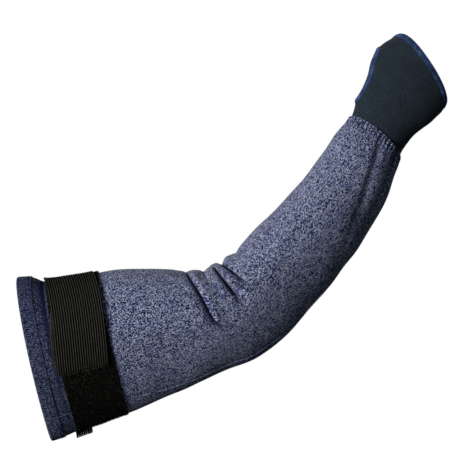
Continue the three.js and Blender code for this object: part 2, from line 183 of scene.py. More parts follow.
# Painted shade on the yarn, where it would lie out of the light. Beside a crease: how far before its
# middle, how long and how dark. In a fold and in the gathers: how wide or long, and how dark. The turned
# end is painted as if it lay in the strap's shade, up to full, and is out of it at gone, with a darker
# painted shadow line against the strap; there the painted shade is a little darker on the crook side.
CREASE_SLIT = dict(before=0.5, length=1.3, shade=0.75)
CREASE_SHADE = dict(before=3.2, length=3.4, shade=0.4)
FOLD_SHADE = dict(width=0.8, shade=0.25)
PLEAT_SHADE_LENGTH = 11.0
STRAP_SHADE = dict(full=24.0, gone=30.0, shade=0.68, sway=0.12)
STRAP_LINE = dict(at=23.0, length=3.0, shade=0.25)

LEGS = [
    (OPENING_TO_STRAP + STRAP_TO_ELBOW, 0.0),
    (ELBOW_RADIUS * math.radians(ELBOW_BEND), math.radians(ELBOW_BEND)),
    (FOREARM_LENGTH, 0.0),
    (WRIST_RADIUS * math.radians(WRIST_BEND), math.radians(WRIST_BEND)),
    (WRIST_LENGTH, 0.0),
]
SLEEVE_LENGTH = sum(length for length, bend in LEGS)


def arm_at(distance):
    """Where the centre line is at distances from the opening, and which way it heads."""
    heading = np.full(distance.shape, math.radians(UPPER_ARM_TILT))
    x = -OPENING_TO_STRAP * np.cos(heading)
    z = -OPENING_TO_STRAP * np.sin(heading)
    left = distance.copy()
    for length, bend in LEGS:
        last = (length, bend) == LEGS[-1]
        run = left if last else np.minimum(left, length)
        turn = bend * run / length
        chord = run * np.sinc(turn / 2 / np.pi)
        x = x + chord * np.cos(heading + turn / 2)
        z = z + chord * np.sin(heading + turn / 2)
        heading = heading + turn
        left = left - run
    return x, z, heading


def half_sizes():
    """One table of half sizes in millimetres for the whole length."""
    def between(small, large, share):
        return (small + (large - small) * share) / 2

    table = []
    for row in SLEEVE_SECTIONS:
        across = [between(WRIST["width"], OPENING["width"], row[side]) for side in ("inner", "outer")]
        depth = between(WRIST["depth"], OPENING["depth"], row["depth"])
        table.append([row["at"] * SLEEVE_LENGTH, *across, depth, row["pinch"]])
    for row in CUFF_SECTIONS:
        across = [between(WRIST["width"], PALM["width"], row[side]) for side in ("inner", "outer")]
        depth = between(WRIST["depth"], PALM["depth"], row["depth"])
        table.append([SLEEVE_LENGTH + row["at"] * HAND_LENGTH, *across, depth, 0.0])
    return np.array(table)


SECTIONS = half_sizes()


def section_at(distance):
    """Inner and outer half width, half depth and pinch, by a smooth curve through the table."""
    last = len(SECTIONS) - 2
    k = np.clip(np.searchsorted(SECTIONS[:, 0], distance, side="right") - 1, 0, last)
    a, b = SECTIONS[k], SECTIONS[k + 1]
    before, after = SECTIONS[np.maximum(k - 1, 0)], SECTIONS[np.minimum(k + 2, last + 1)]
    span = b[..., :1] - a[..., :1]
    t = np.clip((distance[..., None] - a[..., :1]) / span, 0, 1)
    slope_a = (b - before) / (b[..., :1] - before[..., :1]) * span
    slope_b = (after - a) / (after[..., :1] - a[..., :1]) * span
    value = a * (1 + t * t * (2 * t - 3)) + slope_a * t * (1 - t) ** 2
    value = value + b * t * t * (3 - 2 * t) - slope_b * t * t * (1 - t)
    return value[..., 1], value[..., 2], value[..., 3], value[..., 4]


def form_point(distance, turn):
    """The arm's form. Turn is in degrees: 0 the crook and thumb side, 90 the back of the hand."""
    x, z, heading = arm_at(distance)
    inner, outer, depth, pinch = section_at(distance)
    across = np.cos(np.radians(turn))
    width = across * np.where(across > 0, inner, outer)
    fold = 1 - pinch * ((1 - across) / 2) ** 2
    y = -depth * fold * np.sin(np.radians(turn))
    return np.stack([x - width * np.sin(heading), y, z + width * np.cos(heading)], -1)


def unit(vectors):
    return vectors / np.linalg.norm(vectors, axis=-1, keepdims=True)


def form_normal(distance, turn):
    """The way that points off the form."""
    step = 0.5
    along = form_point(distance + step, turn) - form_point(distance - step, turn)
    around = form_point(distance, turn + step) - form_point(distance, turn - step)
    return unit(np.cross(around, along))


def cloth_point(distance, turn, height):
    """A point at a height off the form."""
    distance, turn, height = np.broadcast_arrays(*np.atleast_1d(distance, turn, height))
    distance = distance.astype(float)
    return form_point(distance, turn) + form_normal(distance, turn) * height[..., None]


def smooth(value, low, high):
    """From 0 at low to 1 at high, level at both ends."""
    t = np.clip((value - low) / (high - low), 0, 1)
    return t * t * (3 - 2 * t)


def bell(offset, width):
    """1 in the middle, 0.37 at a width from it, and next to nothing at two."""
    return np.exp(-((offset / width) ** 2))


def wrapped(turn):
    """The same turn between -180 and 180 degrees."""
    return turn - 360 * np.round(turn / 360)


def seam_at(turn):
    """Distance of the seam between knit and cuff."""
    rake = SEAM_RAKE * np.cos(np.radians(turn))
    return SLEEVE_LENGTH + rake + SEAM_BOW * np.sin(np.radians(turn))


def knit_distance(share, turn):
    """Distance of a row of the knit, which follows the leaning creases and the slanted seam."""
    at = [LEAN_FROM, *[crease["at"] for crease in CREASES], LEAN_TO]
    lean = [0.0, *[crease["lean"] for crease in CREASES], 0.0]
    away = np.abs(wrapped(turn))
    hook = CREASE_HOOK["lean"] * bell(away - CREASE_HOOK["turn"], CREASE_HOOK["spread"])
    leaning = np.interp(share, at, lean) * (np.sin(np.radians(away)) + hook)
    distance = (share + leaning) * SLEEVE_LENGTH
    follow = smooth(share * SLEEVE_LENGTH, SLEEVE_LENGTH - SEAM_EASE, SLEEVE_LENGTH)
    return distance + (seam_at(turn) - SLEEVE_LENGTH) * follow


def crease_strengths(turn):
    """How deep each crease is at a turn, and how much hangs over it, in shares of CREASE_DEPTH."""
    away = np.abs(wrapped(turn))
    for crease in CREASES:
        reach = np.where(wrapped(turn) < 0, crease["back"], 1.0)
        rise = smooth(away, 0.3 * crease["full"], crease["full"])
        strength = crease["edge"] + (1 - crease["edge"]) * rise
        fade = 1 - smooth(away, crease["fades"] * reach, crease["ends"] * reach)
        strength = crease["depth"] * strength * fade
        yield crease, strength, strength * crease["hang"] * (0.25 + 0.75 * rise)


def creased(share, turn):
    """Creases, each with a soft slope on its near side and a steep roll on its far side."""
    height = 0.0
    for crease, strength, hang in crease_strengths(turn):
        offset = (share - crease["at"]) * SLEEVE_LENGTH
        near = np.exp(-((np.abs(offset) / CREASE_SLOPES["near"]) ** 1.3))
        steep = np.exp(-((np.abs(offset) / CREASE_SLOPES["steep"]) ** 1.9))
        soft = np.exp(-((np.abs(offset) / CREASE_SLOPES["soft"]) ** 1.6))
        far = soft + (steep - soft) * np.minimum(hang, 1)
        roll = CREASE_ROLL["height"] * bell(offset - CREASE_ROLL["middle"], CREASE_ROLL["length"])
        valley = CREASE_SLOPES["sink"] * strength * np.where(offset < 0, near, far)
        height = height + CREASE_DEPTH * (hang * roll - valley)
    for roll in ROLLS:
        offset = (share - roll["at"]) * SLEEVE_LENGTH
        away = np.abs(np.abs(wrapped(turn)) - roll["middle"])
        fade = 1 - smooth(away, 0, roll["ends"])
        height = height + roll["height"] * bell(offset, roll["length"]) * fade
    return height


def lapped(share, turn):
    """How far towards the opening the cloth leans where a roll hangs over its crease."""
    shift = 0.0
    for crease, strength, hang in crease_strengths(turn):
        offset = (share - crease["at"]) * SLEEVE_LENGTH
        lap = CREASE_LAP["reach"] * bell(offset - CREASE_LAP["middle"], CREASE_LAP["length"])
        shift = shift + hang * lap
    return shift


def wrist_folds(share, turn):
    """Each long fold, how much of it is left at a place, and how many degrees off its line that is."""
    to_seam = np.maximum(1 - share, 0) * SLEEVE_LENGTH
    for fold in WRIST_FOLDS:
        line = fold["turn"] + fold["drift"] * to_seam / 100
        yield fold, bell(to_seam, fold["reach"] * SLEEVE_LENGTH), wrapped(turn - line)


def painted_shade_at(share, turn):
    """Painted shade on the yarn: 0 in the open, 1 where next to no light would come in."""
    dark = 0.0
    for crease, strength, hang in crease_strengths(turn):
        offset = (share - crease["at"]) * SLEEVE_LENGTH
        slit = bell(offset + CREASE_SLIT["before"], CREASE_SLIT["length"] + hang)
        slope = bell(offset + CREASE_SHADE["before"], CREASE_SHADE["length"])
        shade = CREASE_SLIT["shade"] * slit + CREASE_SHADE["shade"] * slope
        dark = dark + np.minimum(hang / crease["depth"], 1) ** 1.2 * shade
    for fold, left, away in wrist_folds(share, turn):
        shade = FOLD_SHADE["shade"] * fold["depth"] * left
        dark = dark + shade * bell(away, FOLD_SHADE["width"] * fold["spread"])
    distance = share * SLEEVE_LENGTH
    # Painted shadow of the strap on the turned end, and a darker painted shadow line along the strap.
    beside_strap = 1 - smooth(distance, STRAP_SHADE["full"], STRAP_SHADE["gone"])
    sway = STRAP_SHADE["sway"] * np.cos(np.radians(turn))
    dark = dark + beside_strap * (STRAP_SHADE["shade"] + sway)
    dark = dark + STRAP_LINE["shade"] * bell(distance - STRAP_LINE["at"], STRAP_LINE["length"])
    to_seam = np.maximum(1 - share, 0) * SLEEVE_LENGTH
    wave = pleat_wave(turn)[0]
    dark = dark + np.maximum(-wave, 0) ** 0.7 * bell(to_seam, PLEAT_SHADE_LENGTH)
    return np.clip(dark, 0, 1)


def near_seam(share):
    """1 in the last 10 mm before the cuff seam, where the cuff lies inside, and 0 from 20 mm on."""
    return smooth((share - 1) * SLEEVE_LENGTH, -20, -10)


def creased_inside(share, turn):
    """The broad hollow that the creases leave on the inside of the cloth."""
    height = 0.0
    for crease, strength, hang in crease_strengths(turn):
        offset = (share - crease["at"]) * SLEEVE_LENGTH
        hollow = CREASE_INSIDE["sink"] * strength * CREASE_DEPTH
        height = height - hollow * bell(offset, CREASE_INSIDE["length"])
    return height


def folded(share, turn, lowest):
    """Long wrist folds, no lower than lowest where the cuff lies inside, and slow ripples."""
    height = 0.0
    for fold, left, away in wrist_folds(share, turn):
        groove = 0.5 * bell(away, 2 * fold["spread"]) - 1.5 * bell(away, fold["spread"])
        height = height + fold["depth"] * WRIST_FOLD_DEPTH * left * groove
    at_seam = near_seam(share)
    height = height * (1 - at_seam) + np.maximum(height, lowest) * at_seam
    loose = smooth(share, *LOOSE_FROM) * (1 - smooth(share, *LOOSE_TO))
    for wave in RIPPLES:
        angle = 2 * np.pi * wave["along"] * share + wave["round"] * np.radians(turn) + wave["phase"]
        height = height + loose * wave["height"] * np.sin(angle)
    return height


def seam_turn(share):
    """Degrees round the arm at which the long seam runs."""
    at = [row["at"] for row in LONG_SEAM]
    return np.interp(share, at, [row["turn"] for row in LONG_SEAM])


def pressed(share, turn):
    """The long seam: a low ridge between two dips."""
    outer, depth = section_at(np.asarray(share, float) * SLEEVE_LENGTH)[1:3]
    away = np.radians(wrapped(turn - seam_turn(share))) * (outer + depth) / 2
    ridge = SEAM_RIDGE["share"] * bell(away, SEAM_RIDGE["width"])
    return SEAM_DIP["depth"] * (ridge - bell(np.abs(away) - SEAM_DIP["away"], SEAM_DIP["width"]))


def pleat_wave(turn):
    """The gathers' wave round the wrist, from -1 to 1, and its uneven length."""
    angle = np.radians(turn)
    phase = PLEAT_COUNT * angle + 1.1 * np.sin(5 * angle + 0.4) + 0.7 * np.sin(13 * angle + 2.0)
    return np.cos(phase), PLEAT_LENGTH * (1 + 0.3 * np.sin(11 * angle))


def pleated(share, turn):
    """Small gathers against the cuff seam."""
    to_seam = np.maximum(1 - share, 0) * SLEEVE_LENGTH
    wave, length = pleat_wave(turn)
    drawn_in = PLEAT_DRAW["depth"] * bell(to_seam, PLEAT_DRAW["length"])
    return PLEAT_HEIGHT * wave * bell(to_seam, length) - drawn_in


def knit_height(share, turn):
    """Height of the knit's outer face."""
    share, turn = np.broadcast_arrays(share, turn)
    hem = HEM_RISE * (1 - smooth(share * SLEEVE_LENGTH, HEM_DEPTH - 0.6, HEM_DEPTH + 0.6))
    relief = creased(share, turn) + folded(share, turn, -1.2) + pleated(share, turn) + pressed(share, turn)
    height = CLEARANCE + KNIT_WALL + hem + relief
    at_seam = near_seam(share)
    return height * (1 - at_seam) + np.maximum(height, CLEARANCE + THINNEST) * at_seam


def knit_point(share, turn, lift):
    """A point at a lift off the knit's outer face."""
    distance = knit_distance(share, turn) - lapped(share, turn)
    return cloth_point(distance, turn, knit_height(share, turn) + lift)


AROUND_KNIT = 264
WIDEST_ROW = 2.3

# Where the rows of the knit's net lie closer: their step there, and how it grows with each millimetre.
CLOSE_ROWS = [
    *[dict(at=crease["at"] * SLEEVE_LENGTH, step=0.3, growth=0.17) for crease in CREASES],
    dict(at=HEM_DEPTH, step=0.5, growth=0.2),
    dict(at=0.0, step=0.5, growth=0.35),
    dict(at=SLEEVE_LENGTH, step=0.6, growth=0.06),
]


def knit_shares():
    """Rows of the outer face: close at the creases and in the gathers, wider elsewhere."""
    shares = []
    distance = 0.35
    while distance < SLEEVE_LENGTH - 0.4:
        shares.append(distance / SLEEVE_LENGTH)
        step = min(row["step"] + row["growth"] * abs(distance - row["at"]) for row in CLOSE_ROWS)
        distance += min(WIDEST_ROW, step)
    return np.array(shares)


def knit_rows():
    """The closed loop of rows, out over the cloth and back inside it, and each row's share."""
    turns = np.linspace(-180, 180, AROUND_KNIT + 1)[None, :]
    outside = knit_shares()[:, None]
    first_crease, last_crease = 0.38, 0.61
    margin = 1.2 / SLEEVE_LENGTH
    inside = np.unique(np.concatenate([
        np.linspace(margin, first_crease, 20),
        np.linspace(first_crease, last_crease, 24),
        np.linspace(last_crease, 1 - margin, 22),
    ]))[::-1, None]
    middle = CLEARANCE + KNIT_WALL / 2
    rounding = 1.6

    def rounded(share, height):
        from_edge = np.minimum(share, 1 - share) * SLEEVE_LENGTH
        bulge = np.sqrt(1 - (1 - np.clip(from_edge / rounding, 0, 1)) ** 2)
        return middle + (height - middle) * bulge

    def low(share, turn):
        return CLEARANCE + folded(share, turn, 0.0) + creased_inside(share, turn)

    rims = [np.zeros((1, 1)), np.ones((1, 1))]
    parts = [
        (rims[0], middle + 0 * turns, 0.0),
        (outside, rounded(outside, knit_height(outside, turns)), lapped(outside, turns)),
        (rims[1], middle + 0 * turns, 0.0),
        (inside, rounded(inside, low(inside, turns)), 0.0),
    ]
    rows = [cloth_point(knit_distance(share, turns) - lap, turns, height) for share, height, lap in parts]
    shares = np.concatenate([share for share, height, lap in parts])
    return np.concatenate(rows), shares, len(outside) + 2


def run_along(points, axis=0):
    """Millimetres from the first point of each line of points to each of the others."""
    steps = np.linalg.norm(np.diff(points, axis=axis), axis=-1)
    return np.insert(np.cumsum(steps, axis=axis), 0, 0.0, axis=axis)


def yarn_map(shares, outer_count):
    """Millimetres round the cloth from the crook, and along it from the opening, for each point.

    They are measured on the arm's form, so the stitches run on evenly through creases and gathers.
    """
    turns = np.linspace(-180, 180, AROUND_KNIT + 1)[None, :]
    rows = form_point(*np.broadcast_arrays(knit_distance(shares, turns), turns))
    around = run_along(rows, axis=1)
    around = around - around[:, [AROUND_KNIT // 2]]
    along = run_along(rows[:outer_count])
    back = along[-1:] - run_along(rows[outer_count - 1:])[1:]
    return np.stack([around, np.concatenate([along, back])], -1)


def new_piece(name, points, faces, yarn=None):
    """A mesh object from points in millimetres. yarn holds a UV in millimetres for each corner."""
    mesh = bpy.data.meshes.new(name)
    mesh.from_pydata((np.asarray(points).reshape(-1, 3) * MM).tolist(), [], np.asarray(faces).tolist())
    if yarn is not None:
        layer = mesh.uv_layers.new(name="yarn")
        layer.data.foreach_set("uv", np.asarray(yarn, dtype=np.float32).ravel())
    mesh.shade_smooth()
    piece = bpy.data.objects.new(name, mesh)
    bpy.context.scene.collection.objects.link(piece)
    return piece


def ring_piece(name, rows, yarn):
    """A wall closed round the arm. The last column of rows and of yarn repeats the first place."""
    count, columns = rows.shape[0], rows.shape[1] - 1
    i, j = np.meshgrid(np.arange(count), np.arange(columns), indexing="ij")
    after, beside = (i + 1) % count, (j + 1) % columns
    corners = [(i, j), (i, beside), (after, beside), (after, j)]
    faces = np.stack([a * columns + b for a, b in corners], -1).reshape(-1, 4)
    places = [(i, j), (i, j + 1), (after, j + 1), (after, j)]
    return new_piece(name, rows[:, :-1], faces, np.stack([yarn[place] for place in places], -2))


def wear(piece, slot, material, *nodes):
    """Puts a finished piece on the part, with its material and the solids that it stands for."""
    if material is not None:
        piece.data.materials.clear()
        piece.data.materials.append(material)
    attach(piece, "root")
    if nodes:
        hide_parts(*nodes)
    return piece


def linear(colour, alpha=1.0):
    """An sRGB hex colour as linear light."""
    parts = [int(colour[i:i + 2], 16) / 255 for i in (1, 3, 5)]
    return [c / 12.92 if c <= 0.04045 else ((c + 0.055) / 1.055) ** 2.4 for c in parts] + [alpha]


def add(tree, kind, inputs=None, **settings):
    """Adds a node, sets it up, and gives its inputs numbers, nodes or sockets."""
    node = tree.nodes.new(kind)
    for name, value in settings.items():
        setattr(node, name, value)
    for name, value in (inputs or {}).items():
        if isinstance(value, bpy.types.Node):
            value = value.outputs[0]
        if isinstance(value, bpy.types.NodeSocket):
            tree.links.new(value, node.inputs[name])
        else:
            node.inputs[name].default_value = value
    return node


def new_material(name):
    material = bpy.data.materials.new(name)
    material.use_nodes = True
    tree = material.node_tree
    tree.nodes.clear()
    return material, tree


def set_stops(ramp, stops):
    """Colours of a ramp, as places from 0 to 1 with hex colours."""
    places = sorted(stops)
    while len(ramp.color_ramp.elements) < len(places):
        ramp.color_ramp.elements.new(0.5)
    for element, place in zip(ramp.color_ramp.elements, places):
        element.position = place
        element.color = linear(stops[place])
    return ramp


WALE = 1.12  # width of a column of V stitches
COURSE = 0.64  # height of one stitch


# Heather marl knit, machine knitted from navy and pale yarn plied together. The eye sees a dense
# matt fleck, because each leg of its small V stitches has its own shade from navy to almost white.
def heather_knit():
    material, tree = new_material("heather marl knit")
    yarn = add(tree, "ShaderNodeUVMap", uv_map="yarn")
    place = add(tree, "ShaderNodeSeparateXYZ", {0: yarn})

    # The place in its wale and course, where the two legs of a V lean towards each other.
    wale = add(tree, "ShaderNodeMath", {0: place.outputs[0], 1: WALE}, operation="DIVIDE")
    column = add(tree, "ShaderNodeMath", {0: wale}, operation="FLOOR")
    across = add(tree, "ShaderNodeMath", {0: wale}, operation="FRACT")
    across = add(tree, "ShaderNodeMath", {0: across, 1: 0.5}, operation="SUBTRACT")
    side = add(tree, "ShaderNodeMath", {0: across, 1: 0.0}, operation="GREATER_THAN")
    across = add(tree, "ShaderNodeMath", {0: across}, operation="ABSOLUTE")
    course = add(tree, "ShaderNodeMath", {0: place.outputs[1], 1: COURSE}, operation="DIVIDE")
    course = add(tree, "ShaderNodeMath", {0: across, 1: 1.7, 2: course}, operation="MULTIPLY_ADD")
    row = add(tree, "ShaderNodeMath", {0: course}, operation="FLOOR")
    rise = add(tree, "ShaderNodeMath", {0: course}, operation="FRACT")

    # A chance for each leg, most of it its own and the rest its stitch's.
    leg = add(tree, "ShaderNodeCombineXYZ", {0: column, 1: row, 2: side})
    leg_shade = add(tree, "ShaderNodeTexWhiteNoise", {0: leg}, noise_dimensions="3D")
    stitch = add(tree, "ShaderNodeCombineXYZ", {0: column, 1: row})
    chance = add(tree, "ShaderNodeTexWhiteNoise", {0: stitch}, noise_dimensions="2D")
    chance = add(tree, "ShaderNodeMix", {0: 0.85, 2: chance, 3: leg_shade})

    # The leg's rounded height, 1 on its crown and 0 in the gaps.
    rise = add(tree, "ShaderNodeMath", {0: rise, 1: 2.0, 2: -1.0}, operation="MULTIPLY_ADD")
    rise = add(tree, "ShaderNodeMath", {0: rise, 1: 2.0}, operation="POWER")
    across = add(tree, "ShaderNodeMath", {0: across, 1: 2.0}, operation="MULTIPLY")
    across = add(tree, "ShaderNodeMath", {0: across, 1: 2.5}, operation="POWER")
    rise = add(tree, "ShaderNodeMath", {0: 1.0, 1: rise}, operation="SUBTRACT")
    across = add(tree, "ShaderNodeMath", {0: 1.0, 1: across}, operation="SUBTRACT")
    leg_height = add(tree, "ShaderNodeMath", {0: rise, 1: across}, operation="MULTIPLY")
    leg_height = add(tree, "ShaderNodeMath", {0: leg_height, 1: 0.5}, operation="POWER")

    # Its shade, with the yarn's fibres and slow patches in the dye.
    fibres = add(tree, "ShaderNodeTexNoise", {"Vector": yarn, "Scale": 1.6, "Detail": 3.0})
    patches = add(tree, "ShaderNodeTexNoise", {"Vector": yarn, "Scale": 0.11, "Detail": 2.0})
    marl = add(tree, "ShaderNodeMath", {0: fibres, 1: 0.5, 2: -0.25}, operation="MULTIPLY_ADD")
    marl = add(tree, "ShaderNodeMath", {0: chance, 1: marl}, operation="ADD")
    patch = add(tree, "ShaderNodeMath", {0: patches, 1: 0.1, 2: -0.05}, operation="MULTIPLY_ADD")
    marl = add(tree, "ShaderNodeMath", {0: marl, 1: patch}, operation="ADD")
    shade = set_stops(
        add(tree, "ShaderNodeValToRGB", {0: marl}),
        {0.0: "#040823", 0.43: "#101846", 0.57: "#3a4688", 0.67: "#8e9fe4", 0.81: "#e6eeff"},
    )

    # Painted shade: the gaps between the legs are painted darker, and yarn with painted shade is painted
    # darker, towards a dark navy, and duller.
    painted_gap_shade = add(tree, "ShaderNodeMapRange", {0: leg_height, 3: 0.25, 4: 1.0})
    painted_shade = add(tree, "ShaderNodeAttribute", attribute_name="painted_shade")
    shine_left_in_painted_shade = add(tree, "ShaderNodeMapRange", {0: painted_shade.outputs["Fac"], 3: 1.0, 4: 0.08})
    colour = add(tree, "ShaderNodeMix", {0: 1.0, 6: shade, 7: painted_gap_shade}, data_type="RGBA", blend_type="MULTIPLY")
    # Full painted shade paints the yarn the dark navy #131836.
    deep = {0: painted_shade.outputs["Fac"], 6: colour.outputs[2], 7: linear("#131836")}
    colour = add(tree, "ShaderNodeMix", deep, data_type="RGBA")
    # Painted shade also takes away the yarn's shine and sheen.
    shine = add(tree, "ShaderNodeMath", {0: shine_left_in_painted_shade, 1: 0.15}, operation="MULTIPLY")
    fuzz = add(tree, "ShaderNodeMath", {0: fibres, 1: 0.35, 2: leg_height}, operation="MULTIPLY_ADD")
    bump = add(tree, "ShaderNodeBump", {"Height": fuzz, "Strength": 0.6, "Distance": 0.4 * MM})
    surface = add(tree, "ShaderNodeBsdfPrincipled", {
        "Base Color": colour.outputs[2],
        "Roughness": 0.92,
        "Specular IOR Level": shine,
        "Sheen Weight": shine,
        "Sheen Roughness": 0.5,
        "Normal": bump,
    })
    add(tree, "ShaderNodeOutputMaterial", {"Surface": surface})
    return material


def mark_points(piece, name, values):
    """Keeps one number for each point of a piece, for its material."""
    layer = piece.data.attributes.new(name, "FLOAT", "POINT")
    layer.data.foreach_set("value", np.asarray(values, dtype=np.float32).ravel())


rows, row_shares, outer_count = knit_rows()
yarn = yarn_map(row_shares, outer_count)
knit = ring_piece("knit_sleeve_cloth", rows, yarn)
painted_shade = np.zeros((len(rows), AROUND_KNIT))
knit_turns = np.linspace(-180, 180, AROUND_KNIT, endpoint=False)
painted_shade[1:outer_count - 1] = painted_shade_at(knit_shares()[:, None], knit_turns)
# The knit's painted shade: one number for each point of its outer face, none on its rims and inside.
mark_points(knit, "painted_shade", painted_shade)
wear(knit, "heather_knit", heather_knit(), "knit_sleeve")


# The cuff is a tube of dark navy stretch jersey, 1.6 mm thick, that starts inside the end of the knit
# and reaches over the back of the hand. An oval hole on its thumb side lets the thumb out.
CUFF_WALL = 1.6
EDGE_RAKE = 16.5  # how much further the finger edge reaches on the thumb side than on average
EDGE_BOW = 10.5  # and on the back of the hand
EDGE_BINDING_WIDTH = 6.5
THUMB_HOLE = dict(length=50.0, width=25.5, from_seam=48.0)
THUMB_BINDING_WIDTH = 5.2
HAND_KNOB = dict(at=1.13, turn=186, height=1.1, length=5.0, spread=11)
AROUND_CUFF = 192
ALONG_CUFF = 66

# The hole in the cloth ends under the middle of its binding.
HOLE_MIDDLE = SLEEVE_LENGTH + THUMB_HOLE["from_seam"]
HOLE_HALF_LENGTH = (THUMB_HOLE["length"] + THUMB_BINDING_WIDTH) / 2
HOLE_HALF_WIDTH = (THUMB_HOLE["width"] + THUMB_BINDING_WIDTH) / 2


def finger_edge_at(turn):
    """Distance of the cuff's outer end."""
    rake = EDGE_RAKE * np.cos(np.radians(turn))
    return SLEEVE_LENGTH + HAND_LENGTH + rake + EDGE_BOW * np.sin(np.radians(turn))


def cuff_relief(distance, turn):
    """A small knob where the jersey is stretched over the hand's outer edge."""
    along = bell(distance - HAND_KNOB["at"] * SLEEVE_LENGTH, HAND_KNOB["length"])
    return HAND_KNOB["height"] * along * bell(wrapped(turn - HAND_KNOB["turn"]), HAND_KNOB["spread"])


def hole_margin(distance, turn):
    """1 on the outline of the thumb hole in the cloth, less than 1 inside it, and its two shares."""
    depth = section_at(distance)[2]
    along = (distance - HOLE_MIDDLE) / HOLE_HALF_LENGTH
    side = depth * np.sin(np.radians(turn)) / HOLE_HALF_WIDTH
    far_away = 9.0
    facing = np.cos(np.radians(turn)) > 0
    return np.where(facing, np.hypot(along, side), far_away), along, side


def cuff_grid():
    """Distances and turns of the cuff's net, with its points near the hole moved on to its outline."""
    turns = np.linspace(-180, 180, AROUND_CUFF + 1)
    share = np.linspace(0, 1, ALONG_CUFF)[:, None]
    start = seam_at(turns) - SEAM_OVERLAP
    stop = finger_edge_at(turns) - EDGE_BINDING_WIDTH / 2
    distance = start * (1 - share) + stop * share
    turn = np.broadcast_to(turns, distance.shape).copy()
    margin = hole_margin(distance, turn)[0]
    centre = (margin[:-1, :-1] + margin[1:, :-1] + margin[:-1, 1:] + margin[1:, 1:]) / 4
    gone = centre < 1
    touched = np.zeros(margin.shape, dtype=int)
    for down in (0, 1):
        for right in (0, 1):
            touched[down:down + gone.shape[0], right:right + gone.shape[1]] += gone
    rim = (touched > 0) & (touched < 4)
    for i, j in np.argwhere(rim):
        value, along, side = hole_margin(distance[i, j], turn[i, j])
        distance[i, j] = HOLE_MIDDLE + along / value * HOLE_HALF_LENGTH
        depth = section_at(distance[i, j])[2]
        turn[i, j] = np.degrees(np.arcsin(side / value * HOLE_HALF_WIDTH / depth))
    return distance, turn, gone


def cuff_piece():
    """The jersey as a closed wall: its outer and inner face, and the edges of its three openings."""
    distance, turn, gone = cuff_grid()
    relief = cuff_relief(distance, turn)
    outside = cloth_point(distance, turn, relief)
    inside = cloth_point(distance, turn, relief - CUFF_WALL)
    rows_in, columns = distance.shape[0], distance.shape[1] - 1
    layer = rows_in * columns

    def at(i, j, level):
        return level * layer + i * columns + j % columns

    i, j = np.nonzero(~gone)
    quads = [(i, j), (i, j + 1), (i + 1, j + 1), (i + 1, j)]
    top = np.stack([at(a, b, 0) for a, b in quads], -1)
    under = np.stack([at(a, b, 1) for a, b in quads[::-1]], -1)
    edges = {(int(a), int(b)): True for face in top for a, b in zip(face, np.roll(face, -1))}
    walls = [(b, a, a + layer, b + layer) for a, b in edges if (b, a) not in edges]
    around = run_along(outside, axis=1)
    yarn = np.stack([around - around[:, [columns // 2]], distance - SLEEVE_LENGTH], -1)
    grid_yarn = np.stack([yarn[a, b] for a, b in quads], -2).reshape(-1, 2)
    under_yarn = np.stack([yarn[a, b] for a, b in quads[::-1]], -2).reshape(-1, 2)
    flat_yarn = yarn[:, :-1].reshape(-1, 2)
    wall_yarn = np.array([flat_yarn[v % layer] for wall in walls for v in wall])
    points = np.concatenate([outside[:, :-1].reshape(-1, 3), inside[:, :-1].reshape(-1, 3)])
    faces = np.concatenate([top, under, np.array(walls)])
    piece = new_piece("hand_cuff_cloth", points, faces, np.concatenate([grid_yarn, under_yarn, wall_yarn]))
    net = bmesh.new()
    net.from_mesh(piece.data)
    bmesh.ops.delete(net, geom=[v for v in net.verts if not v.link_faces], context="VERTS")
    net.to_mesh(piece.data)
    net.free()
    return piece


def waves(tree, place, pitch):
    """A wave between -1 and 1, once for each pitch in millimetres along a place."""
    angle = add(tree, "ShaderNodeMath", {0: place, 1: 2 * math.pi / pitch}, operation="MULTIPLY")
    return add(tree, "ShaderNodeMath", {0: angle}, operation="SINE")


# Stretch jersey, fine circular knit of polyester and elastane, dyed a navy that is almost black. The
# eye sees a dense matt cloth with faint fine ribs along the hand and a little soft light on top.
def stretch_jersey():
    rib = 1.1
    loop = 0.9
    material, tree = new_material("fine stretch jersey")
    yarn = add(tree, "ShaderNodeUVMap", uv_map="yarn")
    place = add(tree, "ShaderNodeSeparateXYZ", {0: yarn})
    ribs = waves(tree, place.outputs[0], rib)
    loops = waves(tree, place.outputs[1], loop)
    grain = add(tree, "ShaderNodeTexNoise", {"Vector": yarn, "Scale": 0.8, "Detail": 3.0})
    cloud = add(tree, "ShaderNodeTexNoise", {"Vector": yarn, "Scale": 0.09, "Detail": 2.0})
    height = add(tree, "ShaderNodeMath", {0: loops, 1: 0.35, 2: ribs}, operation="MULTIPLY_ADD")
    height = add(tree, "ShaderNodeMath", {0: grain, 1: 0.8, 2: height}, operation="MULTIPLY_ADD")
    cloud = add(tree, "ShaderNodeMath", {0: cloud, 1: 0.3, 2: -0.35}, operation="MULTIPLY_ADD")
    tone = add(tree, "ShaderNodeMath", {0: ribs, 1: 0.1, 2: cloud}, operation="MULTIPLY_ADD")
    tone = add(tree, "ShaderNodeMath", {0: grain, 1: 1.4, 2: tone}, operation="MULTIPLY_ADD")
    shade = set_stops(
        add(tree, "ShaderNodeValToRGB", {0: tone}),
        {0.2: "#0f161f", 0.5: "#19242e", 0.85: "#2d3c4a"},
    )
    bump = add(tree, "ShaderNodeBump", {"Height": height, "Strength": 0.4, "Distance": 0.12 * MM})
    surface = add(tree, "ShaderNodeBsdfPrincipled", {
        "Base Color": shade,
        "Roughness": 0.85,
        "Specular IOR Level": 0.25,
        "Sheen Weight": 0.1,
        "Sheen Roughness": 0.5,
        "Normal": bump,
    })
    add(tree, "ShaderNodeOutputMaterial", {"Surface": surface})
    return material


cuff = cuff_piece()
wear(cuff, "stretch_jersey", stretch_jersey(), "hand_cuff")


# Both openings of the cuff are overlocked: blue thread is wound closely over the cloth's edge and
# makes a round rim, 6.5 mm wide at the fingers and 5.2 mm at the thumb.
BINDING_RISE = 0.6  # over each face of the cloth
BINDING_THREAD = 0.85
THREAD_PITCH = 0.95
POINTS_PER_WINDING = 11


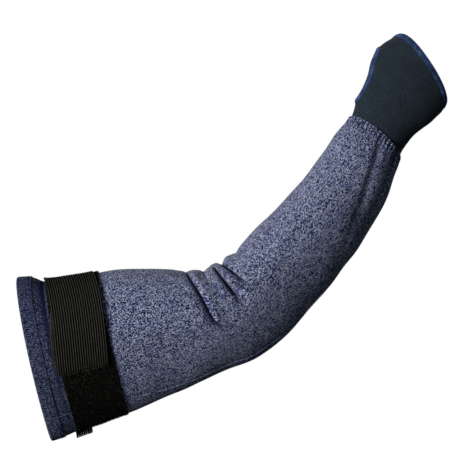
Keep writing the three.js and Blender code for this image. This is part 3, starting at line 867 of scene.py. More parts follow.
def turned_plain(piece, tree, values):
    """Runs a node tree on a piece and keeps the result as its plain mesh."""
    modifier = piece.modifiers.new("making", "NODES")
    modifier.node_group = tree
    for socket in tree.interface.items_tree:
        if socket.in_out == "INPUT" and socket.name in values:
            modifier[socket.identifier] = values[socket.name]
    shown = piece.evaluated_get(bpy.context.evaluated_depsgraph_get())
    mesh = bpy.data.meshes.new_from_object(shown)
    piece.modifiers.clear()
    piece.data = mesh
    mesh.name = piece.name
    return piece


def named_tree(name, inputs):
    """A geometry tree with one geometry in, one out, and named inputs for sizes."""
    tree = bpy.data.node_groups.new(name, "GeometryNodeTree")
    tree.interface.new_socket(name="Geometry", in_out="OUTPUT", socket_type="NodeSocketGeometry")
    tree.interface.new_socket(name="Path", in_out="INPUT", socket_type="NodeSocketGeometry")
    for label, kind in inputs.items():
        tree.interface.new_socket(name=label, in_out="INPUT", socket_type=kind)
    return tree, add(tree, "NodeGroupInput")


def laid_thread_tree():
    """A round thread along every line of edges in a mesh."""
    tree, given = named_tree("laid_thread", {
        "Radius": "NodeSocketFloat",
        "Sides": "NodeSocketInt",
        "Material": "NodeSocketMaterial",
    })
    line = add(tree, "GeometryNodeMeshToCurve", {0: given.outputs["Path"]})
    around = add(tree, "GeometryNodeCurvePrimitiveCircle", {
        "Resolution": given.outputs["Sides"],
        "Radius": given.outputs["Radius"],
    })
    thread = add(tree, "GeometryNodeCurveToMesh", {
        "Curve": line,
        "Profile Curve": around,
        "Fill Caps": True,
    })
    soft = add(tree, "GeometryNodeSetShadeSmooth", {0: thread})
    whole = add(tree, "GeometryNodeRealizeInstances", {0: soft})
    dyed = add(tree, "GeometryNodeSetMaterial", {0: whole, "Material": given.outputs["Material"]})
    add(tree, "NodeGroupOutput", {0: dyed})
    return tree


LAID_THREAD = laid_thread_tree()


def laid_thread(name, path, crown, radius, sides, material):
    """One closed thread along points in millimetres. crown is 1 where it lies on top, 0 at edges."""
    count = len(path)
    ends = np.stack([np.arange(count), (np.arange(count) + 1) % count], -1)
    mesh = bpy.data.meshes.new(name)
    mesh.from_pydata((path * MM).tolist(), ends.tolist(), [])
    piece = bpy.data.objects.new(name, mesh)
    bpy.context.scene.collection.objects.link(piece)
    mark_points(piece, "crown", crown)
    values = {"Radius": radius * MM, "Sides": sides, "Material": material}
    return turned_plain(piece, LAID_THREAD, values)


def edge_frames(centre, distance, turn):
    """Two unit directions at each point of a closed line on the form: across it and off the form."""
    along = unit(np.roll(centre, -1, axis=0) - np.roll(centre, 1, axis=0))
    up = form_normal(distance, turn)
    across = unit(np.cross(up, along))
    return across, unit(np.cross(along, across))


def oval_ring(name, centre, across, up, half_width, half_height, material, sides=14):
    """A closed rope of oval section along a closed line."""
    angle = np.linspace(0, 2 * np.pi, sides, endpoint=False)[None, :, None]
    points = centre[:, None] + half_width * np.cos(angle) * across[:, None]
    points = points + half_height * np.sin(angle) * up[:, None]
    count = len(centre)
    i, j = np.meshgrid(np.arange(count), np.arange(sides), indexing="ij")
    after, beside = (i + 1) % count, (j + 1) % sides
    corners = [(i, j), (after, j), (after, beside), (i, beside)]
    faces = np.stack([a * sides + b for a, b in corners], -1).reshape(-1, 4)
    piece = new_piece(name, points, faces)
    piece.data.materials.append(material)
    return piece


# Overlock thread, textured polyester dyed royal blue. The eye sees many soft parallel threads, the gaps
# between them dark, with a painted highlight on the crown of the rim and painted shade at its edges.
def overlock_thread():
    material, tree = new_material("textured polyester thread")
    place = add(tree, "ShaderNodeTexCoord")
    fibres = add(tree, "ShaderNodeTexNoise", {
        "Vector": place.outputs["Object"],
        "Scale": 1 / (0.7 * MM),
        "Detail": 3.0,
    })
    cloud = add(tree, "ShaderNodeTexNoise", {"Vector": place.outputs["Object"], "Scale": 1 / (6 * MM)})
    tone = add(tree, "ShaderNodeMath", {0: fibres, 1: 0.6, 2: cloud}, operation="MULTIPLY_ADD")
    shade = set_stops(
        add(tree, "ShaderNodeValToRGB", {0: tone}),
        {0.5: "#1a2853", 0.8: "#2b4275", 1.0: "#4768a0"},
    )
    # Painted highlight and shade: the thread keeps its full colour on the crown of the rim and is painted
    # down to 0.3 of it at its edges.
    crown = add(tree, "ShaderNodeAttribute", attribute_name="crown")
    edge = add(tree, "ShaderNodeMapRange", {0: crown.outputs["Fac"], 1: 0.2, 2: 0.75, 3: 0.3, 4: 1.0})
    shade = add(tree, "ShaderNodeMix", {0: 1.0, 6: shade, 7: edge}, data_type="RGBA", blend_type="MULTIPLY")
    bump = add(tree, "ShaderNodeBump", {"Height": fibres, "Strength": 0.5, "Distance": 0.1 * MM})
    surface = add(tree, "ShaderNodeBsdfPrincipled", {
        "Base Color": shade.outputs[2],
        "Roughness": 0.65,
        "Specular IOR Level": 0.25,
        "Sheen Weight": 0.08,
        "Normal": bump,
    })
    add(tree, "ShaderNodeOutputMaterial", {"Surface": surface})
    return material


BLUE_THREAD = overlock_thread()


def bound_edge(node, distance, turn, width):
    """A rim of wound thread on a closed line: a core of cloth and thread, and the winding on it."""
    middle = -CUFF_WALL / 2
    centre = cloth_point(distance, turn, middle + cuff_relief(distance, turn))
    across, up = edge_frames(centre, distance, turn)
    half_height = CUFF_WALL / 2 + BINDING_RISE
    thread = BINDING_THREAD / 2
    out, off = width / 2 - thread, half_height - thread
    core = oval_ring(f"{node}_core", centre, across, up, out, off, BLUE_THREAD)
    run = run_along(np.concatenate([centre, centre[:1]]))
    windings = round(run[-1] / THREAD_PITCH)
    share = np.arange(windings * POINTS_PER_WINDING) / (windings * POINTS_PER_WINDING)

    def along_line(values):
        closed = np.concatenate([values, values[:1]])
        return np.stack([np.interp(share * run[-1], run, closed[:, k]) for k in range(3)], -1)

    angle = (2 * np.pi * windings * share)[:, None]
    path = along_line(centre) + out * np.cos(angle) * along_line(across)
    path = path + off * np.sin(angle) * along_line(up)
    winding = laid_thread(f"{node}_winding", path, np.abs(np.sin(angle)), thread, 5, BLUE_THREAD)
    wear(winding, "overlock_thread", None, node)
    wear(core, "overlock_thread", None)


edge_turns = np.linspace(-180, 180, 300, endpoint=False)
edge_distance = finger_edge_at(edge_turns) - EDGE_BINDING_WIDTH / 2
bound_edge("finger_binding", edge_distance, edge_turns, EDGE_BINDING_WIDTH)

hole_angle = np.radians(np.linspace(0, 360, 200, endpoint=False))
hole_distance = HOLE_MIDDLE + HOLE_HALF_LENGTH * np.cos(hole_angle)
hole_side = HOLE_HALF_WIDTH * np.sin(hole_angle)
hole_turn = np.degrees(np.arcsin(hole_side / section_at(hole_distance)[2]))
bound_edge("thumb_binding", hole_distance, hole_turn, THUMB_BINDING_WIDTH)


# Sewing thread holds the sleeve together: a flat double row round the turned hem, a topstitch on
# the long seam under the arm, and a line on the gathers where they are sewn to the cuff.
STITCH_LENGTH = 2.7
STITCH_GAP = 0.6
STITCH_RISE = 0.22
STITCH_THREAD = 0.5
HEM_ROWS = [3.2, 0.8]  # millimetres of the two rows from the end of the turned cloth
WRIST_ROW = 0.9  # and of the gathers' row from the cuff seam


def thread_bits_tree():
    """A bow of thread at each point, laid by the point's own directions, with chance in its size."""
    tree, given = named_tree("thread_bits", {
        "Length": "NodeSocketFloat",
        "Rise": "NodeSocketFloat",
        "Radius": "NodeSocketFloat",
        "Sides": "NodeSocketInt",
        "Steps": "NodeSocketInt",
        "Spin": "NodeSocketFloat",
        "Tilt": "NodeSocketFloat",
        "Spread": "NodeSocketFloat",
        "Seed": "NodeSocketInt",
        "Material": "NodeSocketMaterial",
    })
    half = add(tree, "ShaderNodeMath", {0: given.outputs["Length"], 1: 0.5}, operation="MULTIPLY")
    other = add(tree, "ShaderNodeMath", {0: half, 1: -1.0}, operation="MULTIPLY")
    crown = add(tree, "ShaderNodeMath", {0: given.outputs["Rise"], 1: 2.0}, operation="MULTIPLY")
    bow = add(tree, "GeometryNodeCurveQuadraticBezier", {
        "Resolution": given.outputs["Steps"],
        "Start": add(tree, "ShaderNodeCombineXYZ", {0: other}),
        "Middle": add(tree, "ShaderNodeCombineXYZ", {2: crown}),
        "End": add(tree, "ShaderNodeCombineXYZ", {0: half}),
    })
    around = add(tree, "GeometryNodeCurvePrimitiveCircle", {
        "Resolution": given.outputs["Sides"],
        "Radius": given.outputs["Radius"],
    })
    bit = add(tree, "GeometryNodeCurveToMesh", {"Curve": bow, "Profile Curve": around, "Fill Caps": True})
    along = add(tree, "GeometryNodeInputNamedAttribute", {"Name": "along"}, data_type="FLOAT_VECTOR")
    up = add(tree, "GeometryNodeInputNamedAttribute", {"Name": "up"}, data_type="FLOAT_VECTOR")
    lie = add(tree, "FunctionNodeAxesToRotation", {0: up, 1: along}, primary_axis="Z", secondary_axis="X")
    spans = []
    for label, shift in (("Spin", 0), ("Tilt", 1)):
        other = add(tree, "ShaderNodeMath", {0: given.outputs[label], 1: -1.0}, operation="MULTIPLY")
        seed = add(tree, "ShaderNodeMath", {0: given.outputs["Seed"], 1: shift}, operation="ADD")
        span = add(
            tree,
            "FunctionNodeRandomValue",
            {2: other, 3: given.outputs[label], "Seed": seed},
            data_type="FLOAT",
        )
        spans.append(span.outputs[1])
    chance = add(tree, "ShaderNodeCombineXYZ", {0: spans[1], 2: spans[0]})
    chance = add(tree, "FunctionNodeEulerToRotation", {0: chance})
    turned = add(tree, "FunctionNodeRotateRotation", {0: lie, 1: chance}, rotation_space="LOCAL")
    small = add(tree, "ShaderNodeMath", {0: 1.0, 1: given.outputs["Spread"]}, operation="SUBTRACT")
    large = add(tree, "ShaderNodeMath", {0: 1.0, 1: given.outputs["Spread"]}, operation="ADD")
    size = add(
        tree,
        "FunctionNodeRandomValue",
        {2: small, 3: large, "Seed": given.outputs["Seed"]},
        data_type="FLOAT",
    )
    placed = add(tree, "GeometryNodeInstanceOnPoints", {
        "Points": given.outputs["Path"],
        "Instance": bit,
        "Rotation": turned,
        "Scale": size.outputs[1],
    })
    whole = add(tree, "GeometryNodeRealizeInstances", {0: placed})
    soft = add(tree, "GeometryNodeSetShadeSmooth", {0: whole})
    dyed = add(tree, "GeometryNodeSetMaterial", {0: soft, "Material": given.outputs["Material"]})
    add(tree, "NodeGroupOutput", {0: dyed})
    return tree


THREAD_BITS = thread_bits_tree()


def thread_bits(name, points, along, up, material, **values):
    """Bits of thread at points in millimetres. Sizes are in millimetres, and angles in degrees."""
    mesh = bpy.data.meshes.new(name)
    mesh.from_pydata((points * MM).tolist(), [], [])
    for label, vectors in (("along", along), ("up", up)):
        layer = mesh.attributes.new(label, "FLOAT_VECTOR", "POINT")
        layer.data.foreach_set("vector", np.asarray(vectors, dtype=np.float32).ravel())
    piece = bpy.data.objects.new(name, mesh)
    bpy.context.scene.collection.objects.link(piece)
    given = {"Spin": 0.0, "Tilt": 0.0, "Spread": 0.0, "Seed": 1, "Sides": 5, "Steps": 5, **values}
    for label in ("Length", "Rise", "Radius"):
        given[label] = given[label] * MM
    for label in ("Spin", "Tilt"):
        given[label] = math.radians(given[label])
    return turned_plain(piece, THREAD_BITS, {**given, "Material": material})


def stitch_line(name, line, material):
    """Stitches end to end along a line of surface points in millimetres, with their normals."""
    points, up = line
    run = run_along(points)
    count = int(run[-1] // (STITCH_LENGTH + STITCH_GAP))
    at = (np.arange(count) + 0.5) / count * run[-1]

    def pick(values, where):
        return np.stack([np.interp(where, run, values[:, k]) for k in range(3)], -1)

    along = unit(pick(points, at + 0.5) - pick(points, at - 0.5))
    return thread_bits(
        name,
        pick(points, at),
        along,
        unit(pick(up, at)),
        material,
        Length=STITCH_LENGTH,
        Rise=STITCH_RISE,
        Radius=STITCH_THREAD / 2,
        Sides=6,
        Steps=6,
    )


def knit_line(share, turn, lift):
    """A line at a lift off the knit's outer face, with its normals."""
    share, turn = np.broadcast_arrays(np.asarray(share, float), np.asarray(turn, float))
    return knit_point(share, turn, lift), form_normal(knit_distance(share, turn), turn)


# Spun polyester sewing thread, dyed near the colour of the cloth it holds. The eye sees a row of short
# matt dashes with a soft fleck in them.
def sewing_thread(name, dark, light):
    material, tree = new_material(name)
    place = add(tree, "ShaderNodeTexCoord")
    fibres = add(tree, "ShaderNodeTexNoise", {
        "Vector": place.outputs["Object"],
        "Scale": 1 / (0.8 * MM),
        "Detail": 3.0,
    })
    shade = set_stops(add(tree, "ShaderNodeValToRGB", {0: fibres}), {0.3: dark, 0.7: light})
    bump = add(tree, "ShaderNodeBump", {"Height": fibres, "Strength": 0.4, "Distance": 0.08 * MM})
    surface = add(tree, "ShaderNodeBsdfPrincipled", {
        "Base Color": shade,
        "Roughness": 0.7,
        "Specular IOR Level": 0.3,
        "Normal": bump,
    })
    add(tree, "ShaderNodeOutputMaterial", {"Surface": surface})
    return material


HEATHER_THREAD = sewing_thread("spun polyester thread, heather", "#3d4263", "#7f85aa")
HEM_THREAD = sewing_thread("spun polyester thread, navy", "#23284a", "#454b72")

all_round = np.linspace(-180, 180, 500)
hem_lines = [knit_line((HEM_DEPTH - back) / SLEEVE_LENGTH, all_round, 0.05) for back in HEM_ROWS]
seam_shares = np.linspace(0.004, 0.985, 500)
sewn_rows = [
    ("hem_stitches_1", hem_lines[0], HEM_THREAD),
    ("hem_stitches_2", hem_lines[1], HEM_THREAD),
    ("long_seam_stitches", knit_line(seam_shares, seam_turn(seam_shares), 0.1), HEATHER_THREAD),
    ("wrist_seam_stitches", knit_line(1 - WRIST_ROW / SLEEVE_LENGTH, all_round, -0.5), HEATHER_THREAD),
]
for name, line, thread in sewn_rows:
    wear(stitch_line(name, line, thread), "heather_knit", None)


# The loop patch is a band of nylon loop tape, 52 mm wide, sewn round the front of the upper arm.
# Its face is a thick fur of tiny black loops that the hook tape grips.
ON_KNIT = CLEARANCE + KNIT_WALL + CLEARANCE
LOOP_TAPE = dict(width=52.0, thickness=1.6, shift=4.5, start=-14.0, end=172.0)
ON_LOOP = ON_KNIT + LOOP_TAPE["thickness"] + CLEARANCE
PILE = dict(height=1.0, length=0.8, thread=0.28, pitch=0.92, jitter=0.4, margin=0.2)
WEBBING = dict(width=50.0, thickness=1.6, start=-150.0, end=102.0, bow=6.0)  # which covers part of it


def strip_piece(name, distance, turn, low, high, yarn):
    """A closed strip that lies on the form, from grids of places and of its two faces' heights."""
    along, across = distance.shape
    points = np.concatenate([
        cloth_point(distance, turn, high).reshape(-1, 3),
        cloth_point(distance, turn, low).reshape(-1, 3),
    ])
    layer = along * across
    i, j = np.meshgrid(np.arange(along - 1), np.arange(across - 1), indexing="ij")
    corners = [(i, j), (i + 1, j), (i + 1, j + 1), (i, j + 1)]
    top = np.stack([a * across + b for a, b in corners], -1).reshape(-1, 4)
    under = layer + top[:, ::-1]
    i = np.arange(along - 1)
    j = np.arange(across - 1)
    last = across - 1
    sides = [
        np.stack([i * across, i * across + layer, (i + 1) * across + layer, (i + 1) * across], -1),
        np.stack([i * across + last, (i + 1) * across + last, (i + 1) * across + last + layer,
                  i * across + last + layer], -1),
        np.stack([j, j + 1, j + 1 + layer, j + layer], -1),
        np.stack([j, j + layer, j + 1 + layer, j + 1], -1) + (along - 1) * across,
    ]
    faces = np.concatenate([top, under, *sides])
    corner_yarn = yarn.reshape(-1, 2)[faces % layer]
    return new_piece(name, points, faces, corner_yarn)


def strip_places(start, end, middle_at, width, along, across):
    """Grids of turn, distance and millimetres across, with along by across points, round the arm."""
    turn = np.linspace(start, end, along)[:, None] + np.zeros((1, across))
    side = np.linspace(-width / 2, width / 2, across)[None, :] + np.zeros((along, 1))
    return turn, middle_at(turn) + side, side


def strip_run(turn, distance, height):
    """Millimetres along a strip, for its yarn map."""
    points = cloth_point(distance, turn, height)
    return run_along(points[:, points.shape[1] // 2])[:, None] + np.zeros(turn.shape)


# Loop tape, warp knitted nylon with a brushed pile. The eye sees a deep matt black that swallows
# light, with a fine grey curl here and there.
def loop_pile():
    material, tree = new_material("brushed nylon loop pile")
    place = add(tree, "ShaderNodeTexCoord")
    tufts = add(tree, "ShaderNodeTexNoise", {
        "Vector": place.outputs["Object"],
        "Scale": 1 / (1.6 * MM),
        "Detail": 3.0,
        "Roughness": 0.7,
    })
    shade = set_stops(
        add(tree, "ShaderNodeValToRGB", {0: tufts}),
        {0.45: "#030302", 0.55: "#090907", 0.66: "#48473f"},
    )
    bump = add(tree, "ShaderNodeBump", {"Height": tufts, "Strength": 0.8, "Distance": 0.5 * MM})
    surface = add(tree, "ShaderNodeBsdfPrincipled", {
        "Base Color": shade,
        "Roughness": 0.95,
        "Specular IOR Level": 0.15,
        "Normal": bump,
    })
    add(tree, "ShaderNodeOutputMaterial", {"Surface": surface})
    return material


def loop_middle(turn):
    return OPENING_TO_STRAP + LOOP_TAPE["shift"] + 0 * turn


LOOPS = loop_pile()
turn, distance, side = strip_places(
    LOOP_TAPE["start"], LOOP_TAPE["end"], loop_middle, LOOP_TAPE["width"], along=150, across=40
)
tape_top = ON_KNIT + LOOP_TAPE["thickness"] - PILE["height"] * 0.6
grain = np.random.default_rng(11).normal(0, 0.1, turn.shape)
yarn = np.stack([side, strip_run(turn, distance, tape_top)], -1)
tape = strip_piece("loop_patch_tape", distance, turn, ON_KNIT + 0 * turn, tape_top + grain, yarn)
wear(tape, "loop_pile", LOOPS, "loop_patch")


def webbing_middle(turn):
    """Distance of the webbing's middle line, which bows a little over the front."""
    share = np.maximum(0, turn) / WEBBING["end"]
    return OPENING_TO_STRAP + WEBBING["bow"] * np.sin(np.pi * share)


def pile_places():
    """A jittered net of points on the part of the patch that the webbing leaves bare."""
    chance = np.random.default_rng(7)
    jitter = PILE["jitter"]
    reach = LOOP_TAPE["width"] / 2 - PILE["margin"]
    turns = np.linspace(LOOP_TAPE["start"] + jitter, LOOP_TAPE["end"] - jitter, 232)
    sides = np.arange(-reach + 0.1, reach, PILE["pitch"])
    turn, side = [grid.ravel() for grid in np.meshgrid(turns, sides)]
    turn = turn + chance.uniform(-jitter, jitter, turn.shape)
    side = np.clip(side + chance.uniform(-jitter, jitter, side.shape), -reach, reach)
    distance = loop_middle(turn) + side
    covered = turn < WEBBING["end"] - 3
    covered = covered & (distance < webbing_middle(turn) + WEBBING["width"] / 2 - 1.5)
    return distance[~covered], turn[~covered]


pile_distance, pile_turn = pile_places()
pile_up = form_normal(pile_distance, pile_turn)
pile_along = unit(np.cross(pile_up, np.array([0.3, 1.0, 0.2])))
piece = thread_bits(
    "loop_patch_pile",
    cloth_point(pile_distance, pile_turn, tape_top - 0.1),
    pile_along,
    pile_up,
    LOOPS,
    Length=PILE["length"],
    Rise=PILE["height"],
    Radius=PILE["thread"] / 2,
    Sides=3,
    Steps=4,
    Spin=180,
    Tilt=40,
    Spread=0.35,
    Seed=5,
)
wear(piece, "loop_pile", None)


# Hook tape is sewn under the free end of the webbing: moulded nylon with rows of tiny hooks that
# face the arm and hold in the loops. It is a little askew, so a strip of its back shows.
HOOK_TAPE = dict(length=70.0, thickness=1.0, width=49.0, skew=4.5)
HOOK_GRID = dict(rows=40, reach=23.0, pitch=2.0, margin=0.8)
ON_HOOK = ON_LOOP + HOOK_TAPE["thickness"] + CLEARANCE
hook_start = WEBBING["end"] - HOOK_TAPE["length"]


# Woven nylon with hooks, black. The eye sees a stiff edge with fine lines along it and a dull light.
def hook_nylon():
    cord = 1.7
    material, tree = new_material("woven nylon hook tape")
    place = add(tree, "ShaderNodeTexCoord")
    grain = add(tree, "ShaderNodeTexNoise", {"Vector": place.outputs["Object"], "Scale": 1 / (2 * MM)})
    yarn = add(tree, "ShaderNodeUVMap", uv_map="yarn")
    across = add(tree, "ShaderNodeSeparateXYZ", {0: yarn})
    line = waves(tree, across.outputs[0], cord)
    tone = add(tree, "ShaderNodeMath", {0: line, 1: 0.2, 2: grain}, operation="MULTIPLY_ADD")
    shade = set_stops(
        add(tree, "ShaderNodeValToRGB", {0: tone}),
        {0.3: "#080807", 0.55: "#23221e", 0.75: "#3b3933"},
    )
    bump = add(tree, "ShaderNodeBump", {"Height": grain, "Strength": 0.3, "Distance": 0.1 * MM})
    surface = add(tree, "ShaderNodeBsdfPrincipled", {
        "Base Color": shade,
        "Roughness": 0.7,
        "Specular IOR Level": 0.1,
        "Normal": bump,
    })
    add(tree, "ShaderNodeOutputMaterial", {"Surface": surface})
    return material


def hook_middle(turn):
    """Distance of the tape's middle line, askew of the webbing's, and less so again at its end."""
    leaves = smooth(turn, hook_start + 12, hook_start + 40)
    comes_back = 0.7 * smooth(turn, WEBBING["end"] - 14, WEBBING["end"])
    return webbing_middle(turn) - HOOK_TAPE["skew"] * (leaves * (1 - comes_back))


HOOKS = hook_nylon()
turn, distance, side = strip_places(
    hook_start, WEBBING["end"], hook_middle, HOOK_TAPE["width"], along=40, across=20
)
yarn = np.stack([side, strip_run(turn, distance, ON_LOOP)], -1)
hook_low = ON_LOOP + 0.3
hook_high = ON_LOOP + HOOK_TAPE["thickness"]
tape = strip_piece("hook_tape_strip", distance, turn, hook_low + 0 * turn, hook_high + 0 * turn, yarn)
wear(tape, "hook_nylon", HOOKS, "hook_tape")
first_row, last_row = hook_start + HOOK_GRID["margin"], WEBBING["end"] - HOOK_GRID["margin"]
turns, sides = np.meshgrid(
    np.linspace(first_row, last_row, HOOK_GRID["rows"]),
    np.arange(-HOOK_GRID["reach"], HOOK_GRID["reach"] + 0.1, HOOK_GRID["pitch"]),
    indexing="ij",
)
hook_turn = turns.ravel()
hook_distance = hook_middle(hook_turn) + sides.ravel()
hook_up = form_normal(hook_distance, hook_turn)
piece = thread_bits(
    "hook_tape_hooks",
    cloth_point(hook_distance, hook_turn, hook_low + 0.1),
    unit(np.cross(hook_up, np.array([0.2, 0.1, 1.0]))),
    -hook_up,
    HOOKS,
    Length=0.7,
    Rise=0.7,
    Radius=0.12,
    Sides=4,
    Steps=4,
    Seed=9,
)
wear(piece, "hook_nylon", None)


# The strap is ribbed elastic webbing, 50 mm wide: rubber strands wrapped and bound side by side. It
# is sewn on behind the arm, comes over the top and ends in front, cut square and a little frayed.
TAIL = dict(end=-183.0, share=0.34, slack=4.5, spread=20.0)
CLIMB = 12.0  # degrees: it climbs on to a layer from two of these before its end to half of one
RIB_COUNT = 22
RIB_DEPTH = 0.5
FRAY = dict(count=130, length=2.4, rise=0.1, thread=0.28)


def webbing_low(turn):
    """Height of the webbing's under face, which climbs over the patch and the hook tape."""
    over_loop = smooth(turn, LOOP_TAPE["start"] - 2 * CLIMB, LOOP_TAPE["start"] - CLIMB / 2)
    over_hook = smooth(turn, hook_start - 2 * CLIMB, hook_start - CLIMB / 2)
    hang = TAIL["slack"] * bell(turn + 180, TAIL["spread"])
    return ON_KNIT + (ON_LOOP - ON_KNIT) * over_loop + (ON_HOOK - ON_LOOP) * over_hook + hang


def ribbed(side, width):
    """Rib relief across the webbing, from 0 in the grooves to 1 on the ribs."""
    pitch = WEBBING["width"] / RIB_COUNT
    rib = np.abs(np.cos(np.pi * side / pitch))
    edge = smooth(width / 2 - np.abs(side), 0.0, 1.2)
    return np.sqrt(1 - rib**2) * (0.35 + 0.65 * edge)


def webbing_strip(name, start, end, width, middle_at, along, across):
    """A length of webbing with its ribs, thinner at its two edges."""
    turn, distance, side = strip_places(start, end, middle_at, width, along, across)
    low = webbing_low(turn)
    run = strip_run(turn, distance, low)
    high = low + WEBBING["thickness"] - RIB_DEPTH * (1 - ribbed(side, width))
    edge = smooth(width / 2 - np.abs(side), 0.0, 0.8)
    high = high - 0.5 * (1 - edge)
    low = low + 0.3 * (1 - edge)
    return strip_piece(name, distance, turn, low, high, np.stack([side, run], -1))


# Knitted elastic, black polyester over rubber. The eye sees fine raised ribs along the strap, each crossed
# by small binding threads, brownish black, with painted shade in the grooves and a painted grey highlight
# on the rib tops.
def elastic_webbing(name, painted_top_light):
    material, tree = new_material(name)
    pitch = WEBBING["width"] / RIB_COUNT
    binding = 1.0
    yarn = add(tree, "ShaderNodeUVMap", uv_map="yarn")
    place = add(tree, "ShaderNodeSeparateXYZ", {0: yarn})
    rib = waves(tree, place.outputs[0], 2 * pitch)
    rib = add(tree, "ShaderNodeMath", {0: rib}, operation="ABSOLUTE")
    odd = add(tree, "ShaderNodeMath", {0: place.outputs[0], 1: pitch}, operation="DIVIDE")
    odd = add(tree, "ShaderNodeMath", {0: odd}, operation="FLOOR")
    shifted = add(tree, "ShaderNodeMath", {0: odd, 1: 0.47, 2: place.outputs[1]}, operation="MULTIPLY_ADD")
    bind = waves(tree, shifted, 2 * binding)
    bind = add(tree, "ShaderNodeMath", {0: bind}, operation="ABSOLUTE")
    grain = add(tree, "ShaderNodeTexNoise", {"Vector": yarn, "Scale": 1.4, "Detail": 3.0})
    tone = add(tree, "ShaderNodeMath", {0: bind, 1: 0.1, 2: rib}, operation="MULTIPLY_ADD")
    tone = add(tree, "ShaderNodeMath", {0: grain, 1: 0.5, 2: tone}, operation="MULTIPLY_ADD")
    tone = add(tree, "ShaderNodeMath", {0: tone, 1: 1.5}, operation="DIVIDE")
    # Painted shade and highlight: the grooves between ribs are painted near black and the rib tops take the
    # painted highlight colour.
    shade = set_stops(
        add(tree, "ShaderNodeValToRGB", {0: tone}),
        {0.68: "#070707", 0.8: "#171613", 0.92: painted_top_light},
    )
    shine = add(tree, "ShaderNodeMapRange", {0: rib, 1: 0.8, 2: 1.0, 3: 0.0, 4: 0.25})
    height = add(tree, "ShaderNodeMath", {0: bind, 1: 0.3, 2: grain}, operation="MULTIPLY_ADD")
    bump = add(tree, "ShaderNodeBump", {"Height": height, "Strength": 0.6, "Distance": 0.2 * MM})
    surface = add(tree, "ShaderNodeBsdfPrincipled", {
        "Base Color": shade,
        "Roughness": 0.8,
        "Specular IOR Level": shine,
        "Normal": bump,
    })
    add(tree, "ShaderNodeOutputMaterial", {"Surface": surface})
    return material


ELASTIC = elastic_webbing("ribbed knitted elastic", "#504d45")
band = webbing_strip(
    "strap_webbing_band",
    WEBBING["start"],
    WEBBING["end"],
    WEBBING["width"],
    webbing_middle,
    along=190,
    across=RIB_COUNT * 6 + 1,
)
wear(band, "elastic_webbing", ELASTIC, "strap_webbing")

tail_width = WEBBING["width"] * TAIL["share"]


def tail_middle(turn):
    return OPENING_TO_STRAP - WEBBING["width"] / 2 + tail_width / 2 + 0 * turn


tail = webbing_strip(
    "strap_webbing_tail",
    TAIL["end"],
    WEBBING["start"] + 1,
    tail_width,
    tail_middle,
    along=30,
    across=57,
)
# The tail is a lit copy of the same elastic: its rib tops are painted much paler as painted light.
wear(tail, "elastic_webbing", elastic_webbing("ribbed knitted elastic, end with painted light", "#c4c2ba"))

FRAY_THREAD = sewing_thread("frayed elastic ends", "#23221e", "#4a4842")
chance = np.random.default_rng(3)
fray_reach = WEBBING["width"] / 2 - 0.5
fray_side = chance.uniform(-fray_reach, fray_reach, FRAY["count"])
fray_turn = np.full(fray_side.shape, WEBBING["end"]) + chance.uniform(-0.2, 0.9, fray_side.shape)
fray_distance = webbing_middle(fray_turn) + fray_side
fray_up = form_normal(fray_distance, fray_turn)
ahead = cloth_point(fray_distance, fray_turn + 0.5, 0) - cloth_point(fray_distance, fray_turn - 0.5, 0)
fray_height = webbing_low(fray_turn) + chance.uniform(0.3, 1.2, fray_side.shape)
piece = thread_bits(
    "strap_fray",
    cloth_point(fray_distance, fray_turn, fray_height),
    unit(ahead),
    fray_up,
    FRAY_THREAD,
    Length=FRAY["length"],
    Rise=FRAY["rise"],
    Radius=FRAY["thread"] / 2,
    Sides=4,
    Steps=4,
    Spin=24,
    Tilt=14,
    Spread=0.5,
    Seed=21,
)
wear(piece, "elastic_webbing", None)

# The strap's sewn end: a box with a cross in it, in black thread, on the far side of the arm.
BOX = dict(start=-147.0, end=-124.0, inset=4.0)
BOX_THREAD = sewing_thread("spun polyester thread, black", "#1c1b19", "#3a3834")
inset = WEBBING["width"] / 2 - BOX["inset"]
corners = [
    (BOX["start"], -inset),
    (BOX["end"], -inset),
    (BOX["end"], inset),
    (BOX["start"], inset),
    (BOX["start"], -inset),
    (BOX["end"], inset),
    (BOX["end"], -inset),
    (BOX["start"], inset),
]
for number, (start, stop) in enumerate(zip(corners, corners[1:])):
    share = np.linspace(0, 1, 40)
    turn = start[0] + (stop[0] - start[0]) * share
    distance = webbing_middle(turn) + start[1] + (stop[1] - start[1]) * share
    height = webbing_low(turn) + WEBBING["thickness"]
    line = cloth_point(distance, turn, height), form_normal(distance, turn)
    piece = stitch_line(f"strap_box_stitches_{number + 1}", line, BOX_THREAD)
    wear(piece, "elastic_webbing", None)


# The studio: a white surround that is dim to the sleeve, dimmer from below, one large soft lamp on
# the viewer's left and one behind, level with the arm, that lights the far side alone. The camera
# looks level at the bent arm from 2 m, as in the photograph.
DIM_BELOW = 0.03
DIM_ABOVE = 0.17
COOL = (0.84, 0.92, 1, 1)  # a light, so its strengths of red, green and blue are linear
WHITE = linear("#ffffff")

world = bpy.data.worlds.new("studio")
bpy.context.scene.world = world
world.use_nodes = True
tree = world.node_tree
tree.nodes.clear()
way = add(tree, "ShaderNodeTexCoord")
rise = add(tree, "ShaderNodeSeparateXYZ", {0: way})
amount = add(tree, "ShaderNodeMapRange", {0: rise.outputs[2], 1: -0.6, 2: 0.8, 3: DIM_BELOW, 4: DIM_ABOVE})
dim = add(tree, "ShaderNodeBackground", {"Color": COOL, "Strength": amount})
white = add(tree, "ShaderNodeBackground", {"Color": WHITE, "Strength": 1.0})
seen = add(tree, "ShaderNodeLightPath")
mixed = add(tree, "ShaderNodeMixShader", {0: seen.outputs["Is Camera Ray"], 1: dim, 2: white})
add(tree, "ShaderNodeOutputWorld", {"Surface": mixed})

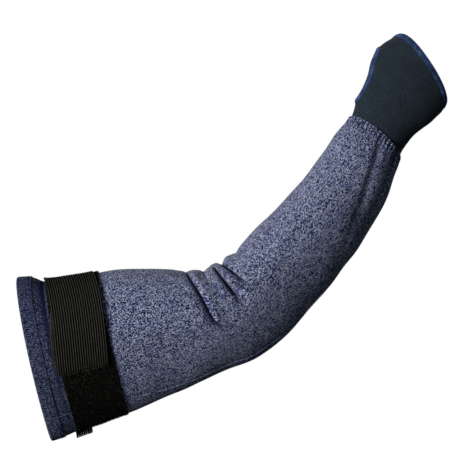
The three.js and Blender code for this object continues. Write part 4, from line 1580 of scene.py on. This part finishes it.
# Lamps: where each stands and what it looks at, in metres, its side and its watts.
AIM = Vector((0.15, 0.0, 0.1))
LAMPS = [
    dict(name="key_lamp", place=(-2.15, -2.0, 0.4), side=1.3, watts=101.0),
    dict(name="back_lamp", place=(0.6, 2.9, 0.2), side=1.6, watts=75.0),
]
for lamp in LAMPS:
    light = bpy.data.lights.new(lamp["name"], "AREA")
    light.size = lamp["side"]
    light.energy = lamp["watts"]
    holder = bpy.data.objects.new(lamp["name"], light)
    aim = (AIM - Vector(lamp["place"])).to_track_quat("-Z", "Y")
    holder.matrix_world = Matrix.Translation(lamp["place"]) @ aim.to_matrix().to_4x4()
    bpy.context.scene.collection.objects.link(holder)

# A matt white floor, below the photograph's frame. The eye sees a pale pool that fades out into the
# surround. Only the camera sees it, and only from above, so it throws no light on the sleeve.
FLOOR = dict(height=-0.3, half_size=1.6, full=0.35, gone=1.4)


def white_floor():
    material, tree = new_material("matt white floor paint")
    place = add(tree, "ShaderNodeTexCoord")
    middle = (AIM.x, AIM.y, FLOOR["height"])
    away = add(tree, "ShaderNodeVectorMath", {0: place.outputs["Object"], 1: middle}, operation="DISTANCE")
    pool = {0: away.outputs["Value"], 1: FLOOR["full"], 2: FLOOR["gone"], 3: 1.0, 4: 0.0}
    shown = add(tree, "ShaderNodeMapRange", pool, interpolation_type="SMOOTHSTEP")
    seen = add(tree, "ShaderNodeLightPath")
    shown = add(tree, "ShaderNodeMath", {0: shown, 1: seen.outputs["Is Camera Ray"]}, operation="MULTIPLY")
    side = add(tree, "ShaderNodeNewGeometry")
    front = add(tree, "ShaderNodeMath", {0: 1.0, 1: side.outputs["Backfacing"]}, operation="SUBTRACT")
    shown = add(tree, "ShaderNodeMath", {0: shown, 1: front}, operation="MULTIPLY")
    paint = add(tree, "ShaderNodeBsdfDiffuse", {"Color": linear("#cbcbcb")})
    glow = add(tree, "ShaderNodeEmission", {"Color": WHITE, "Strength": 0.68})
    lit = add(tree, "ShaderNodeAddShader", {0: paint, 1: glow})
    clear = add(tree, "ShaderNodeBsdfTransparent")
    surface = add(tree, "ShaderNodeMixShader", {0: shown, 1: clear, 2: lit})
    add(tree, "ShaderNodeOutputMaterial", {"Surface": surface})
    return material


half = FLOOR["half_size"]
floor_corners = [(-half, -half), (half, -half), (half, half), (-half, half)]
floor_mesh = bpy.data.meshes.new("floor")
floor_mesh.from_pydata(
    [(AIM.x + x, AIM.y + y, FLOOR["height"]) for x, y in floor_corners],
    [],
    [(0, 1, 2, 3)],
)
floor_mesh.materials.append(white_floor())
floor = bpy.data.objects.new("floor", floor_mesh)
bpy.context.scene.collection.objects.link(floor)

# The camera, in millimetres. At the arm's own distance the picture is as wide as FRAME_WIDTH.
SENSOR = 36.0
CAMERA_AT = dict(x=146.7, away=2000.0, z=111.0)
FRAME_WIDTH = 453.6
lens = bpy.data.cameras.new("camera")
lens.sensor_width = SENSOR
lens.lens = SENSOR * CAMERA_AT["away"] / FRAME_WIDTH
camera = bpy.data.objects.new("camera", lens)
camera.location = (CAMERA_AT["x"] * MM, -CAMERA_AT["away"] * MM, CAMERA_AT["z"] * MM)
camera.rotation_euler = (math.radians(90), 0, 0)
bpy.context.scene.collection.objects.link(camera)
bpy.context.scene.camera = camera

bpy.context.scene.view_settings.view_transform = "Standard"
bpy.context.scene.view_settings.look = "None"
